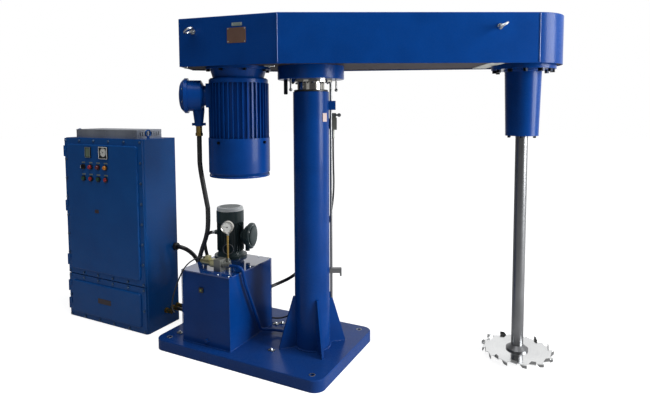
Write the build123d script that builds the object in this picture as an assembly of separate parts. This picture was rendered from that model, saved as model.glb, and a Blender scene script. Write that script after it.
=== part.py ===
from build123d import *
import math
import os

# Base plate: X along its long side, Z up, origin on the floor at the centre of the anchor holes.
base_length = 1360.0
base_width = 880.0
base_thickness = 78.0
base_corner_radius = 75.0
anchor_spacing_x = 1184.0
anchor_spacing_y = 744.0
anchor_hole_diameter = 26.0

# Column, guide bushes and the hollow ram that slides in it.
column_x = 395.0
column_diameter = 245.0
column_wall = 14.0
column_top = 1850.0
bush_length = 110.0
bush_spacing = 420.0
ram_diameter = 185.0
ram_wall = 16.0
ram_tail = 560.0
ram_running_clearance = 0.08
gusset_reach = 118.0
gusset_height = 362.0
gusset_thickness = 16.0
gusset_count = 4
lift_stroke = 1050.0
pipe_port_angle = 168.0
pipe_port_height = 108.0
hose_port_angle = 150.0
hose_port_height = 665.0
hose_port_tilt = 40.0
cylinder_diameter = 110.0
cylinder_wall = 10.0
cylinder_length = 1220.0
piston_rod_diameter = 60.0
piston_height = 60.0
piston_clearance = 0.08

# Swivel between ram and head.
ram_flange_diameter = 293.0
ram_flange_thickness = 18.0
spigot_diameter = 140.0
swivel_clearance = 0.06
face_gap = 0.3
head_angle = 25.35
collar_diameter = 452.0
collar_bottom = 1932.0
thrust_ring_diameter = 250.0
thrust_ring_height = 24.0
swivel_nut_diameter = 176.0
swivel_nut_height = 34.0

# Head beam, seen from above: a long tapered body with a round nose and a cut-back tail.
beam_bottom = 2016.0
beam_height = 310.0
beam_sheet = 6.0
beam_corner_radius = 5.0
nose_radius = 240.0
kink_x = -188.0
kink_half_width = 344.0
tail_x = -858.0
tail_half_width = 146.0
head_plate_thickness = 22.0
head_plate_recess = 4.0
spindle_x = 1425.0
motor_x = -497.0
eye_front_x = 1190.0
eye_rear_x = -755.0
eye_height = 222.0
eye_ring = 72.0
eye_wire = 13.0
eye_shank = 14.0
eye_turn = 30.0

# Main motor, hung under the beam.
motor_diameter = 410.0
fin_depth = 17.0
fin_thickness = 5.0
fin_count = 40
motor_body_top = 1944.0
motor_body_bottom = 1498.0
cowl_bottom = 1276.0
cowl_wall = 4.0
adapter_top_diameter = 380.0
adapter_neck_diameter = 344.0
adapter_flange_diameter = 440.0
adapter_flange_thickness = 18.0
adapter_bore = 250.0
rotor_bore_diameter = 260.0
motor_shaft_diameter = 48.0
motor_bearing_height = 36.0
motor_shield_height = 34.0
motor_shield_chamfer = 10.0
upper_shield_step = 8.0
lower_shield_step = 20.0
terminal_pad_rise = 12.0
terminal_pad_width = 140.0
terminal_pad_height = 160.0
cowl_overlap = 44.0
cowl_taper_height = 34.0
cowl_taper = 22.0
cowl_inlet_inset = 60.0
cowl_inner_step = 2.0
grille_bar = 8.0
grille_radii = (40.0, 75.0, 110.0)
grille_spokes = 8
rotor_gap = 3.0
rotor_end_gap = 20.0
rotor_shaft_overhang = 150.0
pulley_shaft_overhang = 6.0
fan_low = 140.0
fan_high = 40.0
fan_hub_wall = 20.0
fan_root = 14.0
fan_tip_gap = 24.0
fan_disc_inset = 40.0
fan_disc_thickness = 8.0
fan_disc_root = 10.0
fan_blade_thickness = 6.0
fan_blade_count = 8
terminal_box_angle = 190.0
terminal_box_height = 330.0
terminal_box_diameter = 208.0
terminal_cover_diameter = 236.0
terminal_box_reach = 150.0
terminal_cover_thickness = 30.0
terminal_neck_diameter = 136.0
terminal_neck_length = 14.0
terminal_shoulder = 34.0
terminal_cover_lip = 8.0
terminal_cover_bevel = 10.0
terminal_cover_crown = 5.0
gland_reach = 66.0
gland_drop = 106.0
gland_cone_length = 100.0
gland_length = 67.0
gland_diameter = 50.0
gland_body_step = 8.0
gland_nut_length = 22.0
gland_cone_small = 54.0
gland_cone_large = 78.0
gland_ear_width = 92.0
gland_ear_depth = 18.0
gland_ear_rise = 4.0
motor_cable_diameter = 34.0

# Belt drive inside the beam.
motor_pulley_diameter = 224.0
spindle_pulley_diameter = 280.0
pulley_height = 96.0
pulley_bottom = 2078.0
groove_count = 4
groove_depth = 14.0
belt_thickness = 11.0
belt_width = 14.0
belt_gap = 0.4

# Spindle, its housing and the toothed disc.
housing_flange_diameter = 408.0
housing_flange_thickness = 32.0
housing_top_diameter = 234.0
housing_bottom_diameter = 212.0
housing_shoulder = 16.0
housing_bottom = 1562.0
housing_cap_thickness = 14.0
housing_bore = 170.0
spindle_bearing_height = 40.0
bearing_running_clearance = 0.05
shaft_diameter = 80.0
disc_height = 58.0
disc_thickness = 4.0
disc_diameter = 470.0
disc_tooth_count = 24
tooth_step = 17.0
tooth_height = 21.0
tooth_lead = 0.72
hub_diameter = 146.0
hub_rim = 10.0
hub_height = 34.0
clamp_diameter = 96.0
clamp_height = 10.0
clamp_nut_across = 46.0
clamp_nut_height = 14.0

# Bolt heads of the head: across flats and height.
flange_bolt = (26.0, 20.0)
flange_bolt_inset = 23.0
flange_bolt_count = 12
cap_bolt = (18.0, 13.0)
cap_bolt_inset = 14.0
cap_bolt_count = 6
adapter_bolt = (22.0, 14.0)
adapter_bolt_count = 8
cowl_screw_diameter = 18.0
cowl_screw_height = 12.0
cowl_screw_rise = 16.0
cowl_screw_count = 4

# Stop pin and the two sprung swivel locks under the collar.
lock_circle_radius = 172.0
stop_pin_angle = 182.0
stop_pin_diameter = 27.0
stop_pin_length = 98.0
lock_angles = (222.0, 2.0)
lock_rod_diameter = 12.0
lock_rod_length = 70.0
lock_rod_engagement = 60.0
lock_ball_diameter = 22.0
lock_travel = 18.0
lock_clearance = 0.06

# Limit rod, its guide and the limit switch, on the right of the column.
limit_angle = 28.0
limit_rod_radius = 134.5
limit_rod_diameter = 18.0
limit_rod_bottom = 416.0
limit_guide_bottom = 1727.0
limit_guide_height = 62.0
limit_guide_width = 52.0
limit_guide_reach = 167.0
limit_guide_clearance = 0.08
dog_thickness = 34.0
dog_reach = 206.0
dog_width = 30.0
dog_wall = 12.0
dog_hook = 22.0
switch_offset = 42.0
switch_radius = 158.0
switch_width = 38.0
switch_depth = 34.0
switch_height = 84.0
switch_bottom = 1590.0
lever_pivot_height = 18.0
lever_pin_diameter = 10.0
lever_pin_clearance = 0.06
lever_length = 38.0
lever_roller_diameter = 26.0
lever_roller_width = 13.0
lever_arm_thickness = 6.0
lever_arm_height = 14.0
lever_heel = 9.0
lever_side_gap = 1.0
lever_axle_diameter = 8.0
lever_axle_length = 6.0
turret_width = 24.0
turret_back = 16.0
turret_front = 14.0
lever_pivot_inset = 4.0
dog_gap = 3.0
limit_cable_diameter = 12.0
switch_gland_length = 60.0

# Oil tank and power pack.
tank_left = -466.0
tank_right = -45.0
tank_front = -368.0
tank_back = 154.0
tank_top = 599.0
tank_wall = 5.0
lid_thickness = 8.0
lid_overhang = 4.0
plug_diameter = 26.0
plug_head_height = 9.0
plug_washer_diameter = 31.2
plug_washer_thickness = 3.0
level_plug_x = -286.0
level_plug_z = 476.0
drain_plug_x = -246.0
drain_plug_z = 118.0
pump_motor_x = -360.0
pump_motor_y = 65.0
pump_motor_diameter = 206.0
pump_motor_top = 990.0
pump_motor_cowl_height = 118.0
pump_motor_flange = 250.0
pump_fin_count = 28
pump_fin_depth = 9.0
pump_fin_thickness = 4.0
pump_flange_thickness = 16.0
pump_neck_top = 52.0
pump_neck_inset = 20.0
pump_barrel_inset = 12.0
pump_cowl_lip = 2.0
pump_cowl_shoulder = 34.0
pump_cap_radius_step = 20.0
pump_cap_bevel = 4.0
pump_box_angle = 12.0
pump_box_height = 768.0
pump_box_diameter = 150.0
pump_cover_diameter = 196.0
pump_box_reach = 86.0
pump_cover_thickness = 26.0
pump_neck_diameter = 96.0
pump_gland_diameter = 34.0
pump_gland_drop = 118.0
pump_gland_share = 0.45
pump_body_diameter = 120.0
pump_body_length = 210.0
lifting_ring_diameter = 84.0
lifting_ring_wire = 7.0
valve_block_x = -203.0
valve_block_y = -262.0
valve_block_length = 56.0
valve_block_width = 76.0
valve_block_height = 84.0
valve_block_chamfer = 3.0
port_height = 44.0
elbow_diameter = 38.0
elbow_nut_radius = 24.0
elbow_nut_length = 18.0
gauge_post_diameter = 40.0
gauge_post_height = 66.0
gauge_link_width = 24.0
gauge_link_bottom = 16.0
gauge_union_diameter = 22.0
gauge_union_height = 14.0
gauge_nut_radius = 12.0
gauge_nut_length = 18.0
gauge_nut_drop = 16.0
gauge_stem_overlap = 4.0
gauge_bezel = 5.0
gauge_recess = 3.0
solenoid_diameter = 52.0
solenoid_length = 96.0
solenoid_height = 46.0
solenoid_body = (46.0, 48.0, 52.0)
solenoid_chamfer = 4.0
solenoid_cap_length = 20.0
solenoid_cap_step = 10.0
solenoid_plug = (34.0, 32.0, 26.0)
solenoid_plug_inset = 16.0
solenoid_plug_rise = 20.0
gauge_x = -170.0
gauge_y = -214.0
gauge_z = 902.0
gauge_diameter = 86.0
gauge_depth = 32.0
gauge_tube_diameter = 12.0
pressure_pipe_diameter = 22.0
return_hose_diameter = 26.0
pump_cable_diameter = 26.0
solenoid_cable_diameter = 10.0

# Control cabinet.
cabinet_left = -1779.0
cabinet_right = -887.0
cabinet_front = -290.0
cabinet_back = 47.0
cabinet_height = 1512.0
cabinet_sheet = 6.0
cabinet_flange = 34.0
cabinet_split = 372.0
cabinet_shelf = 16.0
cabinet_edge_radius = 10.0
door_thickness = 14.0
door_panel_rise = 14.0
door_panel_margin = 46.0
door_panel_radius = 26.0
door_gap = 1.0
door_margin = 4.0
hinge_diameter = 14.0
hinge_length = 90.0
hinge_pin_diameter = 8.0
hinge_clearance = 0.05
hinge_leaf = 5.0
hinge_leaf_reach = 26.0
hinge_stand_off = 8.0
hinge_depth = 2.0
button_left = -1530.0
button_pitch = 86.0
button_low_row = 1187.0
button_high_row = 1282.0
button_bezel_diameter = 44.0
button_bezel_height = 10.0
button_cap_diameter = 30.0
button_cap_height = 14.0
button_travel = 5.0
button_stem_diameter = 14.0
button_clearance = 0.3
grip_width = 9.0
grip_length = 18.0
grip_inset = 1.5
grip_overlap = 1.0
meter_x = -1288.0
meter_size = 96.0
display_x = -1466.0
display_width = 62.0
instrument_height = 1399.0
instrument_depth = 12.0
top_box_left = -1690.0
top_box_right = -994.0
top_box_front = -252.0
top_box_back = 4.0
top_box_height = 68.0
top_box_sheet = 3.0
cabinet_eye_x = (-1742.0, -950.0)
cabinet_eye_y = -180.0
cabinet_eye_diameter = 62.0
cabinet_eye_wire = 12.0
cabinet_eye_shank = 10.0
cabinet_gland_y = (-105.0, -37.0, 20.0)
cabinet_gland_height = 130.0
cabinet_gland_length = 62.0
cabinet_gland_diameter = 46.0
side_cable_height = 624.0
side_cable_y = 14.0
side_gland_diameter = 58.0
side_gland_length = 24.0
top_box_vent_count = 9
device_plate_margin = 60.0
device_plate_foot = 40.0
device_plate_thickness = 3.0
device_stud_length = 9.0
device_stud_width = 16.0
device_stud_inset = 30.0
drive_size = (280.0, 138.0, 500.0)
drive_inset = 60.0
drive_rise = 440.0
contactor_size = (70.0, 80.0, 100.0)
contactor_inset = 400.0
contactor_pitch = 84.0
contactor_rise = 600.0
contactor_count = 4
terminal_rail_rise = 140.0
terminal_rail_height = 60.0
terminal_rail_depth = 48.0
door_seam = 8.0
door_bolt_inset = 18.0
door_bolt_across = 18.0
door_bolt_height = 9.0
door_bolt_columns = 6
button_well = 8.0
display_height = 84.0
elbow_length = 60.0
pipe_stand_off = 26.0
gauge_turn = 24.0
ring_angle = -62.0
ring_height = 716.0
pump_cable_angle = 205.0
pump_cable_height = 786.0
pump_port_length = 16.0
hose_tank_x = -120.0
hose_tank_z = 330.0
hose_union_length = 44.0
union_nut_length = 16.0

# Routes of the free cords, between their two ends.
cable_junction = 1430.0
motor_cable_route = [
    (-263.0, -346.0, 1190.0),
    (-262.0, -312.0, 1050.0),
    (-302.0, -260.0, 910.0),
    (-384.0, -196.0, 790.0),
    (-464.0, -150.0, 688.0),
    (-518.0, -132.0, 570.0),
    (-540.0, -148.0, 446.0),
    (-546.0, -176.0, 332.0),
    (-590.0, -108.0, 218.0),
    (-650.0, 14.0, 178.0),
    (-704.0, 128.0, 226.0),
    (-722.0, 168.0, 330.0),
    (-728.0, 150.0, 420.0),
    (-740.0, 110.0, 506.0),
    (-756.0, 64.0, 574.0),
]
pump_cable_route = [
    (-526.0, -13.0, 766.0),
    (-544.0, -21.0, 730.0),
    (-545.0, -18.0, 668.0),
    (-530.0, -4.0, 570.0),
    (-520.0, 10.0, 450.0),
    (-524.0, 18.0, 330.0),
    (-544.0, 20.0, 222.0),
    (-592.0, 14.0, 146.0),
    (-664.0, -6.0, 112.0),
    (-734.0, -28.0, 112.0),
]
solenoid_cable_route = [
    (-386.0, -290.0, 670.0),
    (-416.0, -330.0, 652.0),
    (-436.0, -374.0, 614.0),
    (-456.0, -400.0, 552.0),
    (-494.0, -402.0, 470.0),
    (-548.0, -374.0, 386.0),
    (-616.0, -318.0, 300.0),
    (-684.0, -240.0, 218.0),
    (-744.0, -160.0, 158.0),
]
limit_cable_route = [
    (508.0, 114.0, 1340.0),
    (506.0, 126.0, 1210.0),
    (486.0, 152.0, 1080.0),
    (450.0, 176.0, 950.0),
    (405.0, 186.0, 820.0),
    (352.0, 184.0, 690.0),
    (306.0, 190.0, 560.0),
    (262.0, 206.0, 420.0),
    (205.0, 224.0, 290.0),
    (120.0, 232.0, 180.0),
    (20.0, 226.0, 110.0),
    (-95.0, 214.0, 94.0),
    (-230.0, 216.0, 96.0),
    (-365.0, 206.0, 98.0),
    (-490.0, 180.0, 100.0),
    (-600.0, 136.0, 96.0),
    (-690.0, 80.0, 98.0),
    (-748.0, 38.0, 116.0),
]
return_hose_route = [
    (-106.0, 294.0, 334.0),
    (-70.0, 334.0, 350.0),
    (-14.0, 352.0, 380.0),
    (46.0, 340.0, 422.0),
    (98.0, 302.0, 464.0),
    (140.0, 250.0, 504.0),
    (172.0, 196.0, 540.0),
    (199.0, 146.0, 574.0),
]

# Derived values.
eye_level = beam_bottom + eye_height
terminal_box_level = motor_body_bottom + terminal_box_height
gland_cone_top = terminal_box_level - gland_drop
gland_cone_bottom = gland_cone_top - gland_cone_length
gland_bottom = gland_cone_bottom - gland_length
ram_rest_top = collar_bottom - face_gap
bush_bore = ram_diameter + 2 * ram_running_clearance
column_bore = column_diameter - 2 * column_wall
plate_bottom = beam_bottom + head_plate_recess
plate_top = plate_bottom + head_plate_thickness
nose_bearing = math.atan2(kink_half_width, spindle_x - kink_x)
nose_slant = nose_bearing - math.asin(nose_radius / math.hypot(kink_half_width, spindle_x - kink_x))
lid_bottom = tank_top - lid_thickness
door_front = cabinet_front - door_gap - door_thickness
panel_front = door_front - door_panel_rise
door_left = cabinet_left + door_margin
door_right = cabinet_right - door_margin
hinge_x = door_left - hinge_stand_off
hinge_y = door_front + hinge_depth
lever_level = switch_bottom + switch_height + lever_pivot_height
dog_bottom = lever_level - lever_roller_diameter / 2 - dog_gap - lift_stroke - dog_thickness

HEAD = Pos(column_x, 0, 0) * Rot(0, 0, head_angle)
UP = (Align.CENTER, Align.CENTER, Align.MIN)


def cylinder(diameter, low, high, x=0.0, y=0.0):
    """A round bar standing between two heights."""
    return Pos(x, y, low) * Cylinder(diameter / 2, high - low, align=UP)


def tube(outer, inner, low, high, x=0.0, y=0.0):
    """A round tube standing between two heights."""
    wall = Cylinder(outer / 2, high - low, align=UP) - Cylinder(inner / 2, high - low, align=UP)
    return Pos(x, y, low) * wall


def cone(low_diameter, high_diameter, low, high, x=0.0, y=0.0):
    """A tapered round bar standing between two heights."""
    return Pos(x, y, low) * Cone(low_diameter / 2, high_diameter / 2, high - low, align=UP)


def block(low, high):
    """A rectangular block between two opposite corners."""
    size = [high[i] - low[i] for i in range(3)]
    middle = [(high[i] + low[i]) / 2 for i in range(3)]
    return Pos(*middle) * Box(*size)


def around(shape, count, start=0.0, x=0.0, y=0.0):
    """Copies of a shape turned evenly about a vertical axis."""
    return [Pos(x, y, 0) * Rot(0, 0, start + 360.0 / count * i) * shape for i in range(count)]


def group(solids, place=Location()):
    """Separate solids kept together in one node, each set in its place."""
    return Compound(children=[place * solid for solid in solids])


def turned(points, x=0.0, y=0.0):
    """A solid of revolution about a vertical axis, from radius and height pairs."""
    profile = Plane.XZ * make_face(Polyline(*[(r, h) for r, h in points], close=True))
    return Pos(x, y, 0) * revolve(profile, Axis.Z)


def hexagon_bolt(across, head_height, x=0.0, y=0.0, top=0.0):
    """A hexagon head hanging below a face at the given height."""
    flat = Pos(x, y, top - head_height) * RegularPolygon(across / 2, 6, major_radius=False)
    return extrude(flat, head_height)


def route_radii(points):
    """One fillet radius per corner of a cord's route, from its two runs and its turn."""
    radii = []
    for before, corner, after in zip(points, points[1:], points[2:]):
        first = Vector(*corner) - Vector(*before)
        second = Vector(*after) - Vector(*corner)
        turn = math.radians(first.get_angle(second))
        radii.append(0.45 * min(first.length, second.length) / math.tan(turn / 2))
    return radii


def led_out(point, direction, distance):
    """The point that lies a distance along a direction from another."""
    return tuple(p + distance * d for p, d in zip(point, direction))


def cord(name, points, diameter):
    """A round cord along straight runs joined by tangent arcs."""
    radii = route_radii(points)
    path = FilletPolyline(*points, radius=radii)
    start = Plane(origin=points[0], z_dir=Vector(*points[1]) - Vector(*points[0]))
    solid = sweep(start * Circle(diameter / 2), path=path)
    section = math.pi * diameter * diameter / 4
    error = solid.volume / (section * path.length) - 1
    shown = ", ".join(f"{r:.0f}" for r in radii)
    print(f"{name}: length {path.length:.0f} mm, volume error {error:.2e}, radii {shown}")
    return solid


# Base and column.
def base_plate():
    outline = RectangleRounded(base_length, base_width, base_corner_radius)
    holes = GridLocations(anchor_spacing_x, anchor_spacing_y, 2, 2) * Circle(anchor_hole_diameter / 2)
    plate = extrude(outline - holes, base_thickness)
    return chamfer(plate.faces().sort_by(Axis.Z)[-1].outer_wire().edges(), 4)


def column_tube():
    shell = tube(column_diameter, column_bore, base_thickness, column_top, column_x)
    port = Pos(column_x, 0, pipe_port_height) * Rot(0, 0, pipe_port_angle) * Rot(0, 90, 0)
    return shell - port * Cylinder(pressure_pipe_diameter / 2 + 1, column_diameter, align=UP)


def column_gussets():
    root = column_diameter / 2
    low = base_thickness
    profile = Polyline(
        (root, low),
        (root + gusset_reach, low),
        (root + gusset_reach, low + 14),
        (root + 14, low + gusset_height),
        (root, low + gusset_height),
        close=True,
    )
    plate = extrude(Plane.XZ * make_face(profile), gusset_thickness / 2, both=True)
    return group(around(plate, gusset_count, 45.0, column_x))


def guide_bushes():
    top = column_top - 2
    upper = tube(column_bore, bush_bore, top - bush_length, top, column_x)
    lower_top = top - bush_spacing
    lower = tube(column_bore, bush_bore, lower_top - bush_length, lower_top, column_x)
    return group([upper, lower])


def lift_cylinder():
    low = base_thickness
    high = low + cylinder_length
    bore = cylinder_diameter - 2 * cylinder_wall
    foot = cylinder(column_bore - 1, low, low + 20, column_x)
    barrel = tube(cylinder_diameter, bore, low + 20, high, column_x)
    gland = tube(cylinder_diameter, piston_rod_diameter + 2 * piston_clearance, high, high + 30, column_x)
    return foot + barrel + gland


def lift_piston():
    bore = cylinder_diameter - 2 * cylinder_wall
    low = base_thickness + 40
    piston = cylinder(bore - 2 * piston_clearance, low, low + piston_height, column_x)
    rod = cylinder(piston_rod_diameter, low + piston_height, ram_rest_top - ram_flange_thickness, column_x)
    return piston + rod


def ram():
    flange_low = ram_rest_top - ram_flange_thickness
    body = tube(ram_diameter, ram_diameter - 2 * ram_wall, ram_tail, flange_low, column_x)
    flange = cylinder(ram_flange_diameter, flange_low, ram_rest_top, column_x)
    spigot = cylinder(spigot_diameter, ram_rest_top, plate_top + swivel_nut_height + 10, column_x)
    return body + flange + spigot


def swivel_bearing():
    ring_top = ram_rest_top + thrust_ring_height
    ring = tube(thrust_ring_diameter, spigot_diameter, ram_rest_top, ring_top, column_x)
    nut_low = plate_top + face_gap
    nut = tube(swivel_nut_diameter, spigot_diameter, nut_low, nut_low + swivel_nut_height, column_x)
    return group([ring, nut])


# Head beam.
def beam_outline(inset=0.0):
    """The beam from above, offset inwards by a sheet thickness where asked."""
    touch_x = spindle_x + nose_radius * math.sin(nose_slant)
    touch_y = nose_radius * math.cos(nose_slant)
    side = [(touch_x, touch_y), (kink_x, kink_half_width), (tail_x, tail_half_width)]
    far = [(x, -y) for x, y in reversed(side)]
    straight = Polyline(*side, *far)
    arc = ThreePointArc((touch_x, touch_y), (spindle_x + nose_radius, 0), (touch_x, -touch_y))
    face = make_face(straight + arc)
    return offset(face, -inset, kind=Kind.INTERSECTION) if inset else face


def head_cover():
    outer = extrude(Pos(0, 0, beam_bottom) * beam_outline(), beam_height)
    inner = extrude(Pos(0, 0, beam_bottom) * beam_outline(beam_sheet), beam_height - beam_sheet)
    rim = outer.edges().group_by(Axis.Z)[-1]
    return HEAD * (fillet(rim, beam_corner_radius) - inner)


def head_plate():
    plate = extrude(Pos(0, 0, plate_bottom) * beam_outline(beam_sheet), head_plate_thickness)
    spigot_hole = cylinder(spigot_diameter + 2 * swivel_clearance, plate_bottom, plate_top)
    motor_hole = cylinder(adapter_bore, plate_bottom, plate_top, motor_x)
    spindle_hole = cylinder(housing_bore, plate_bottom, plate_top, spindle_x)
    return HEAD * (plate - spigot_hole - motor_hole - spindle_hole)


def head_collar():
    drum = cylinder(collar_diameter, collar_bottom, plate_bottom)
    bore = cylinder(spigot_diameter + 2 * swivel_clearance, collar_bottom, plate_bottom)
    recess_top = ram_rest_top + thrust_ring_height + face_gap
    recess = cylinder(thrust_ring_diameter + 2 * face_gap, collar_bottom, recess_top)
    rim = drum.edges().filter_by(GeomType.CIRCLE).sort_by(Axis.Z)[0]
    solid = chamfer(rim, 4) - bore - recess
    for angle in lock_angles:
        x, y = polar(lock_circle_radius, angle)
        hole = lock_rod_diameter + 2 * lock_clearance
        solid -= cylinder(hole, collar_bottom, collar_bottom + lock_rod_engagement + 2, x, y)
    return HEAD * solid


def polar(radius, angle):
    """The plan position at a radius and an angle in degrees."""
    return radius * math.cos(math.radians(angle)), radius * math.sin(math.radians(angle))


def stop_pin():
    x, y = polar(lock_circle_radius, stop_pin_angle)
    shank = cylinder(stop_pin_diameter, collar_bottom - stop_pin_length, collar_bottom, x, y)
    tip = shank.edges().filter_by(GeomType.CIRCLE).sort_by(Axis.Z)[0]
    return chamfer(tip, 4)


def swivel_lock(angle):
    x, y = polar(lock_circle_radius, angle)
    low = collar_bottom - lock_rod_length
    rod = cylinder(lock_rod_diameter, low, collar_bottom + lock_rod_engagement - lock_travel, x, y)
    ball = Pos(x, y, low) * Sphere(lock_ball_diameter / 2)
    return HEAD * (rod + ball)


# Main motor.
def finned_barrel(diameter, depth, thickness, count, low, high):
    """A round motor frame with upright cooling fins."""
    core = Circle(diameter / 2 - depth)
    fin = Pos(diameter / 2 - depth, 0) * Rectangle(2 * depth, thickness)
    fins = [Rot(0, 0, 360.0 / count * i) * fin for i in range(count)]
    section = core + fins
    return extrude(Pos(0, 0, low) * section, high - low)


def motor_adapter():
    low = motor_body_top
    flange_low = plate_bottom - adapter_flange_thickness
    cone_part = cone(adapter_neck_diameter, adapter_top_diameter, low, flange_low)
    flange = cylinder(adapter_flange_diameter, flange_low, plate_bottom)
    bore = cylinder(adapter_bore, low, plate_bottom)
    return HEAD * Pos(motor_x, 0, 0) * (cone_part + flange - bore)


def motor_body():
    low = motor_body_bottom
    high = motor_body_top
    shield = motor_shield_height
    barrel = finned_barrel(motor_diameter, fin_depth, fin_thickness, fin_count, low + shield, high - shield)
    upper = cylinder(motor_diameter - upper_shield_step, high - shield, high)
    lower = cylinder(motor_diameter - lower_shield_step, low, low + shield)
    rim = upper.edges().filter_by(GeomType.CIRCLE).sort_by(Axis.Z)[-1]
    upper = chamfer(rim, motor_shield_chamfer)
    bore = cylinder(rotor_bore_diameter, low + motor_bearing_height, high - motor_bearing_height)
    hole = cylinder(motor_shaft_diameter + 2 * bearing_running_clearance, low, high)
    spin = Rot(0, 0, terminal_box_angle)
    pad_depth = motor_diameter / 2 + terminal_pad_rise
    half_width = terminal_pad_width / 2
    half_height = terminal_pad_height / 2
    pad_low = (0, -half_width, terminal_box_level - half_height)
    pad = block(pad_low, (pad_depth, half_width, terminal_box_level + half_height))
    return HEAD * Pos(motor_x, 0, 0) * (barrel + upper + lower + spin * pad - bore - hole)


def motor_cowl():
    low = cowl_bottom
    high = motor_body_bottom + cowl_overlap
    inner = motor_diameter / 2 + face_gap
    radius = inner + cowl_wall
    inlet = motor_diameter / 2 - cowl_inlet_inset
    outline = [
        (inner, high),
        (radius, high),
        (radius, low + cowl_taper_height),
        (radius - cowl_taper, low),
        (inlet, low),
        (inlet, low + cowl_wall),
        (radius - cowl_taper - cowl_inner_step, low + cowl_wall),
        (inner, low + cowl_taper_height + cowl_inner_step),
    ]
    shell = turned(outline)
    spokes = cowl_grille(low, inlet)
    return HEAD * Pos(motor_x, 0, 0) * (shell + spokes)


def cowl_grille(low, radius):
    """Rings joined by spokes that close the fan inlet."""
    half = grille_bar / 2
    bar = block((-radius - half, -half, low), (radius + half, half, low + cowl_wall))
    bars = [Rot(0, 0, 360.0 / grille_spokes * i) * bar for i in range(grille_spokes // 2)]
    rings = [tube(2 * r + grille_bar, 2 * r - grille_bar, low, low + cowl_wall) for r in grille_radii]
    solid = bars[0]
    for piece in bars[1:] + rings:
        solid += piece
    return solid


def terminal_box(centre_height, start, reach, diameter, cover, cover_thickness, neck):
    """A round terminal box on a short neck, lying along +X."""
    outline = [
        (0, start),
        (neck / 2, start),
        (neck / 2, start + terminal_neck_length),
        (diameter / 2, start + terminal_shoulder),
        (diameter / 2, start + reach - cover_thickness),
        (cover / 2, start + reach - cover_thickness),
        (cover / 2, start + reach - terminal_cover_lip),
        (cover / 2 - terminal_cover_bevel, start + reach),
        (0, start + reach + terminal_cover_crown),
    ]
    return Pos(0, 0, centre_height) * Rot(0, 90, 0) * turned(outline)


def motor_terminal_box():
    start = motor_diameter / 2 + terminal_pad_rise
    box = terminal_box(
        terminal_box_level,
        start,
        terminal_box_reach,
        terminal_box_diameter,
        terminal_cover_diameter,
        terminal_cover_thickness,
        terminal_neck_diameter,
    )
    x = motor_diameter / 2 + gland_reach
    cone_part = cone(gland_cone_small, gland_cone_large, gland_cone_bottom, gland_cone_top, x)
    boss = cylinder(gland_cone_large, gland_cone_top, terminal_box_level, x)
    half_width = gland_ear_width / 2
    half_depth = gland_ear_depth / 2
    ear_low = gland_cone_bottom + gland_ear_rise
    ear_high = ear_low + gland_ear_depth
    ears = block((x - half_width, -half_depth, ear_low), (x + half_width, half_depth, ear_high))
    return HEAD * Pos(motor_x, 0, 0) * Rot(0, 0, terminal_box_angle) * (box + boss + cone_part + ears)


def motor_gland():
    x = motor_diameter / 2 + gland_reach
    low = gland_bottom
    nut = Pos(x, 0, low) * RegularPolygon(gland_diameter / 2, 6)
    collar = extrude(nut, gland_nut_length)
    body = cylinder(gland_diameter - gland_body_step, low + gland_nut_length, gland_cone_bottom, x)
    return HEAD * Pos(motor_x, 0, 0) * Rot(0, 0, terminal_box_angle) * (collar + body)


def motor_rotor():
    shaft_top = pulley_bottom + pulley_height + pulley_shaft_overhang
    shaft_low = motor_body_bottom - rotor_shaft_overhang
    shaft = cylinder(motor_shaft_diameter, shaft_low, shaft_top)
    low = motor_body_bottom + motor_bearing_height + rotor_end_gap
    high = motor_body_top - motor_bearing_height - rotor_end_gap
    core = cylinder(rotor_bore_diameter - 2 * rotor_gap, low, high)
    return HEAD * Pos(motor_x, 0, 0) * (shaft + core)


def motor_fan():
    low = motor_body_bottom - fan_low
    high = motor_body_bottom - fan_high
    half = fan_blade_thickness / 2
    hub = tube(motor_shaft_diameter + 2 * fan_hub_wall, motor_shaft_diameter, low, high)
    tip = motor_diameter / 2 - fan_tip_gap
    blade = block((motor_shaft_diameter / 2 + fan_root, -half, low), (tip, half, high))
    back_plate_diameter = motor_diameter - 2 * fan_disc_inset
    back_plate_bore = motor_shaft_diameter + 2 * fan_disc_root
    disc = tube(back_plate_diameter, back_plate_bore, high - fan_disc_thickness, high)
    solid = hub + disc
    for piece in around(blade, fan_blade_count):
        solid += piece
    return HEAD * Pos(motor_x, 0, 0) * solid


# Belt drive.
def pulley(diameter, bore):
    """A grooved pulley on a vertical axis."""
    radius = diameter / 2
    pitch = pulley_height / groove_count
    points = [(bore / 2, pulley_bottom)]
    for i in range(groove_count):
        low = pulley_bottom + i * pitch
        points.append((radius, low))
        points.append((radius, low + 0.18 * pitch))
        points.append((radius - groove_depth, low + 0.38 * pitch))
        points.append((radius - groove_depth, low + 0.62 * pitch))
        points.append((radius, low + 0.82 * pitch))
    points.append((radius, pulley_bottom + pulley_height))
    points.append((bore / 2, pulley_bottom + pulley_height))
    return turned(points)


def motor_pulley():
    return HEAD * Pos(motor_x, 0, 0) * pulley(motor_pulley_diameter, motor_shaft_diameter)


def spindle_pulley():
    return HEAD * Pos(spindle_x, 0, 0) * pulley(spindle_pulley_diameter, shaft_diameter)


def belt_loop(near, far, low, high):
    """A flat loop round two pulleys, between two radii offset from the pulleys."""
    return extrude(Pos(0, 0, low) * (loop_face(far) - loop_face(near)), high - low)


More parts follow.
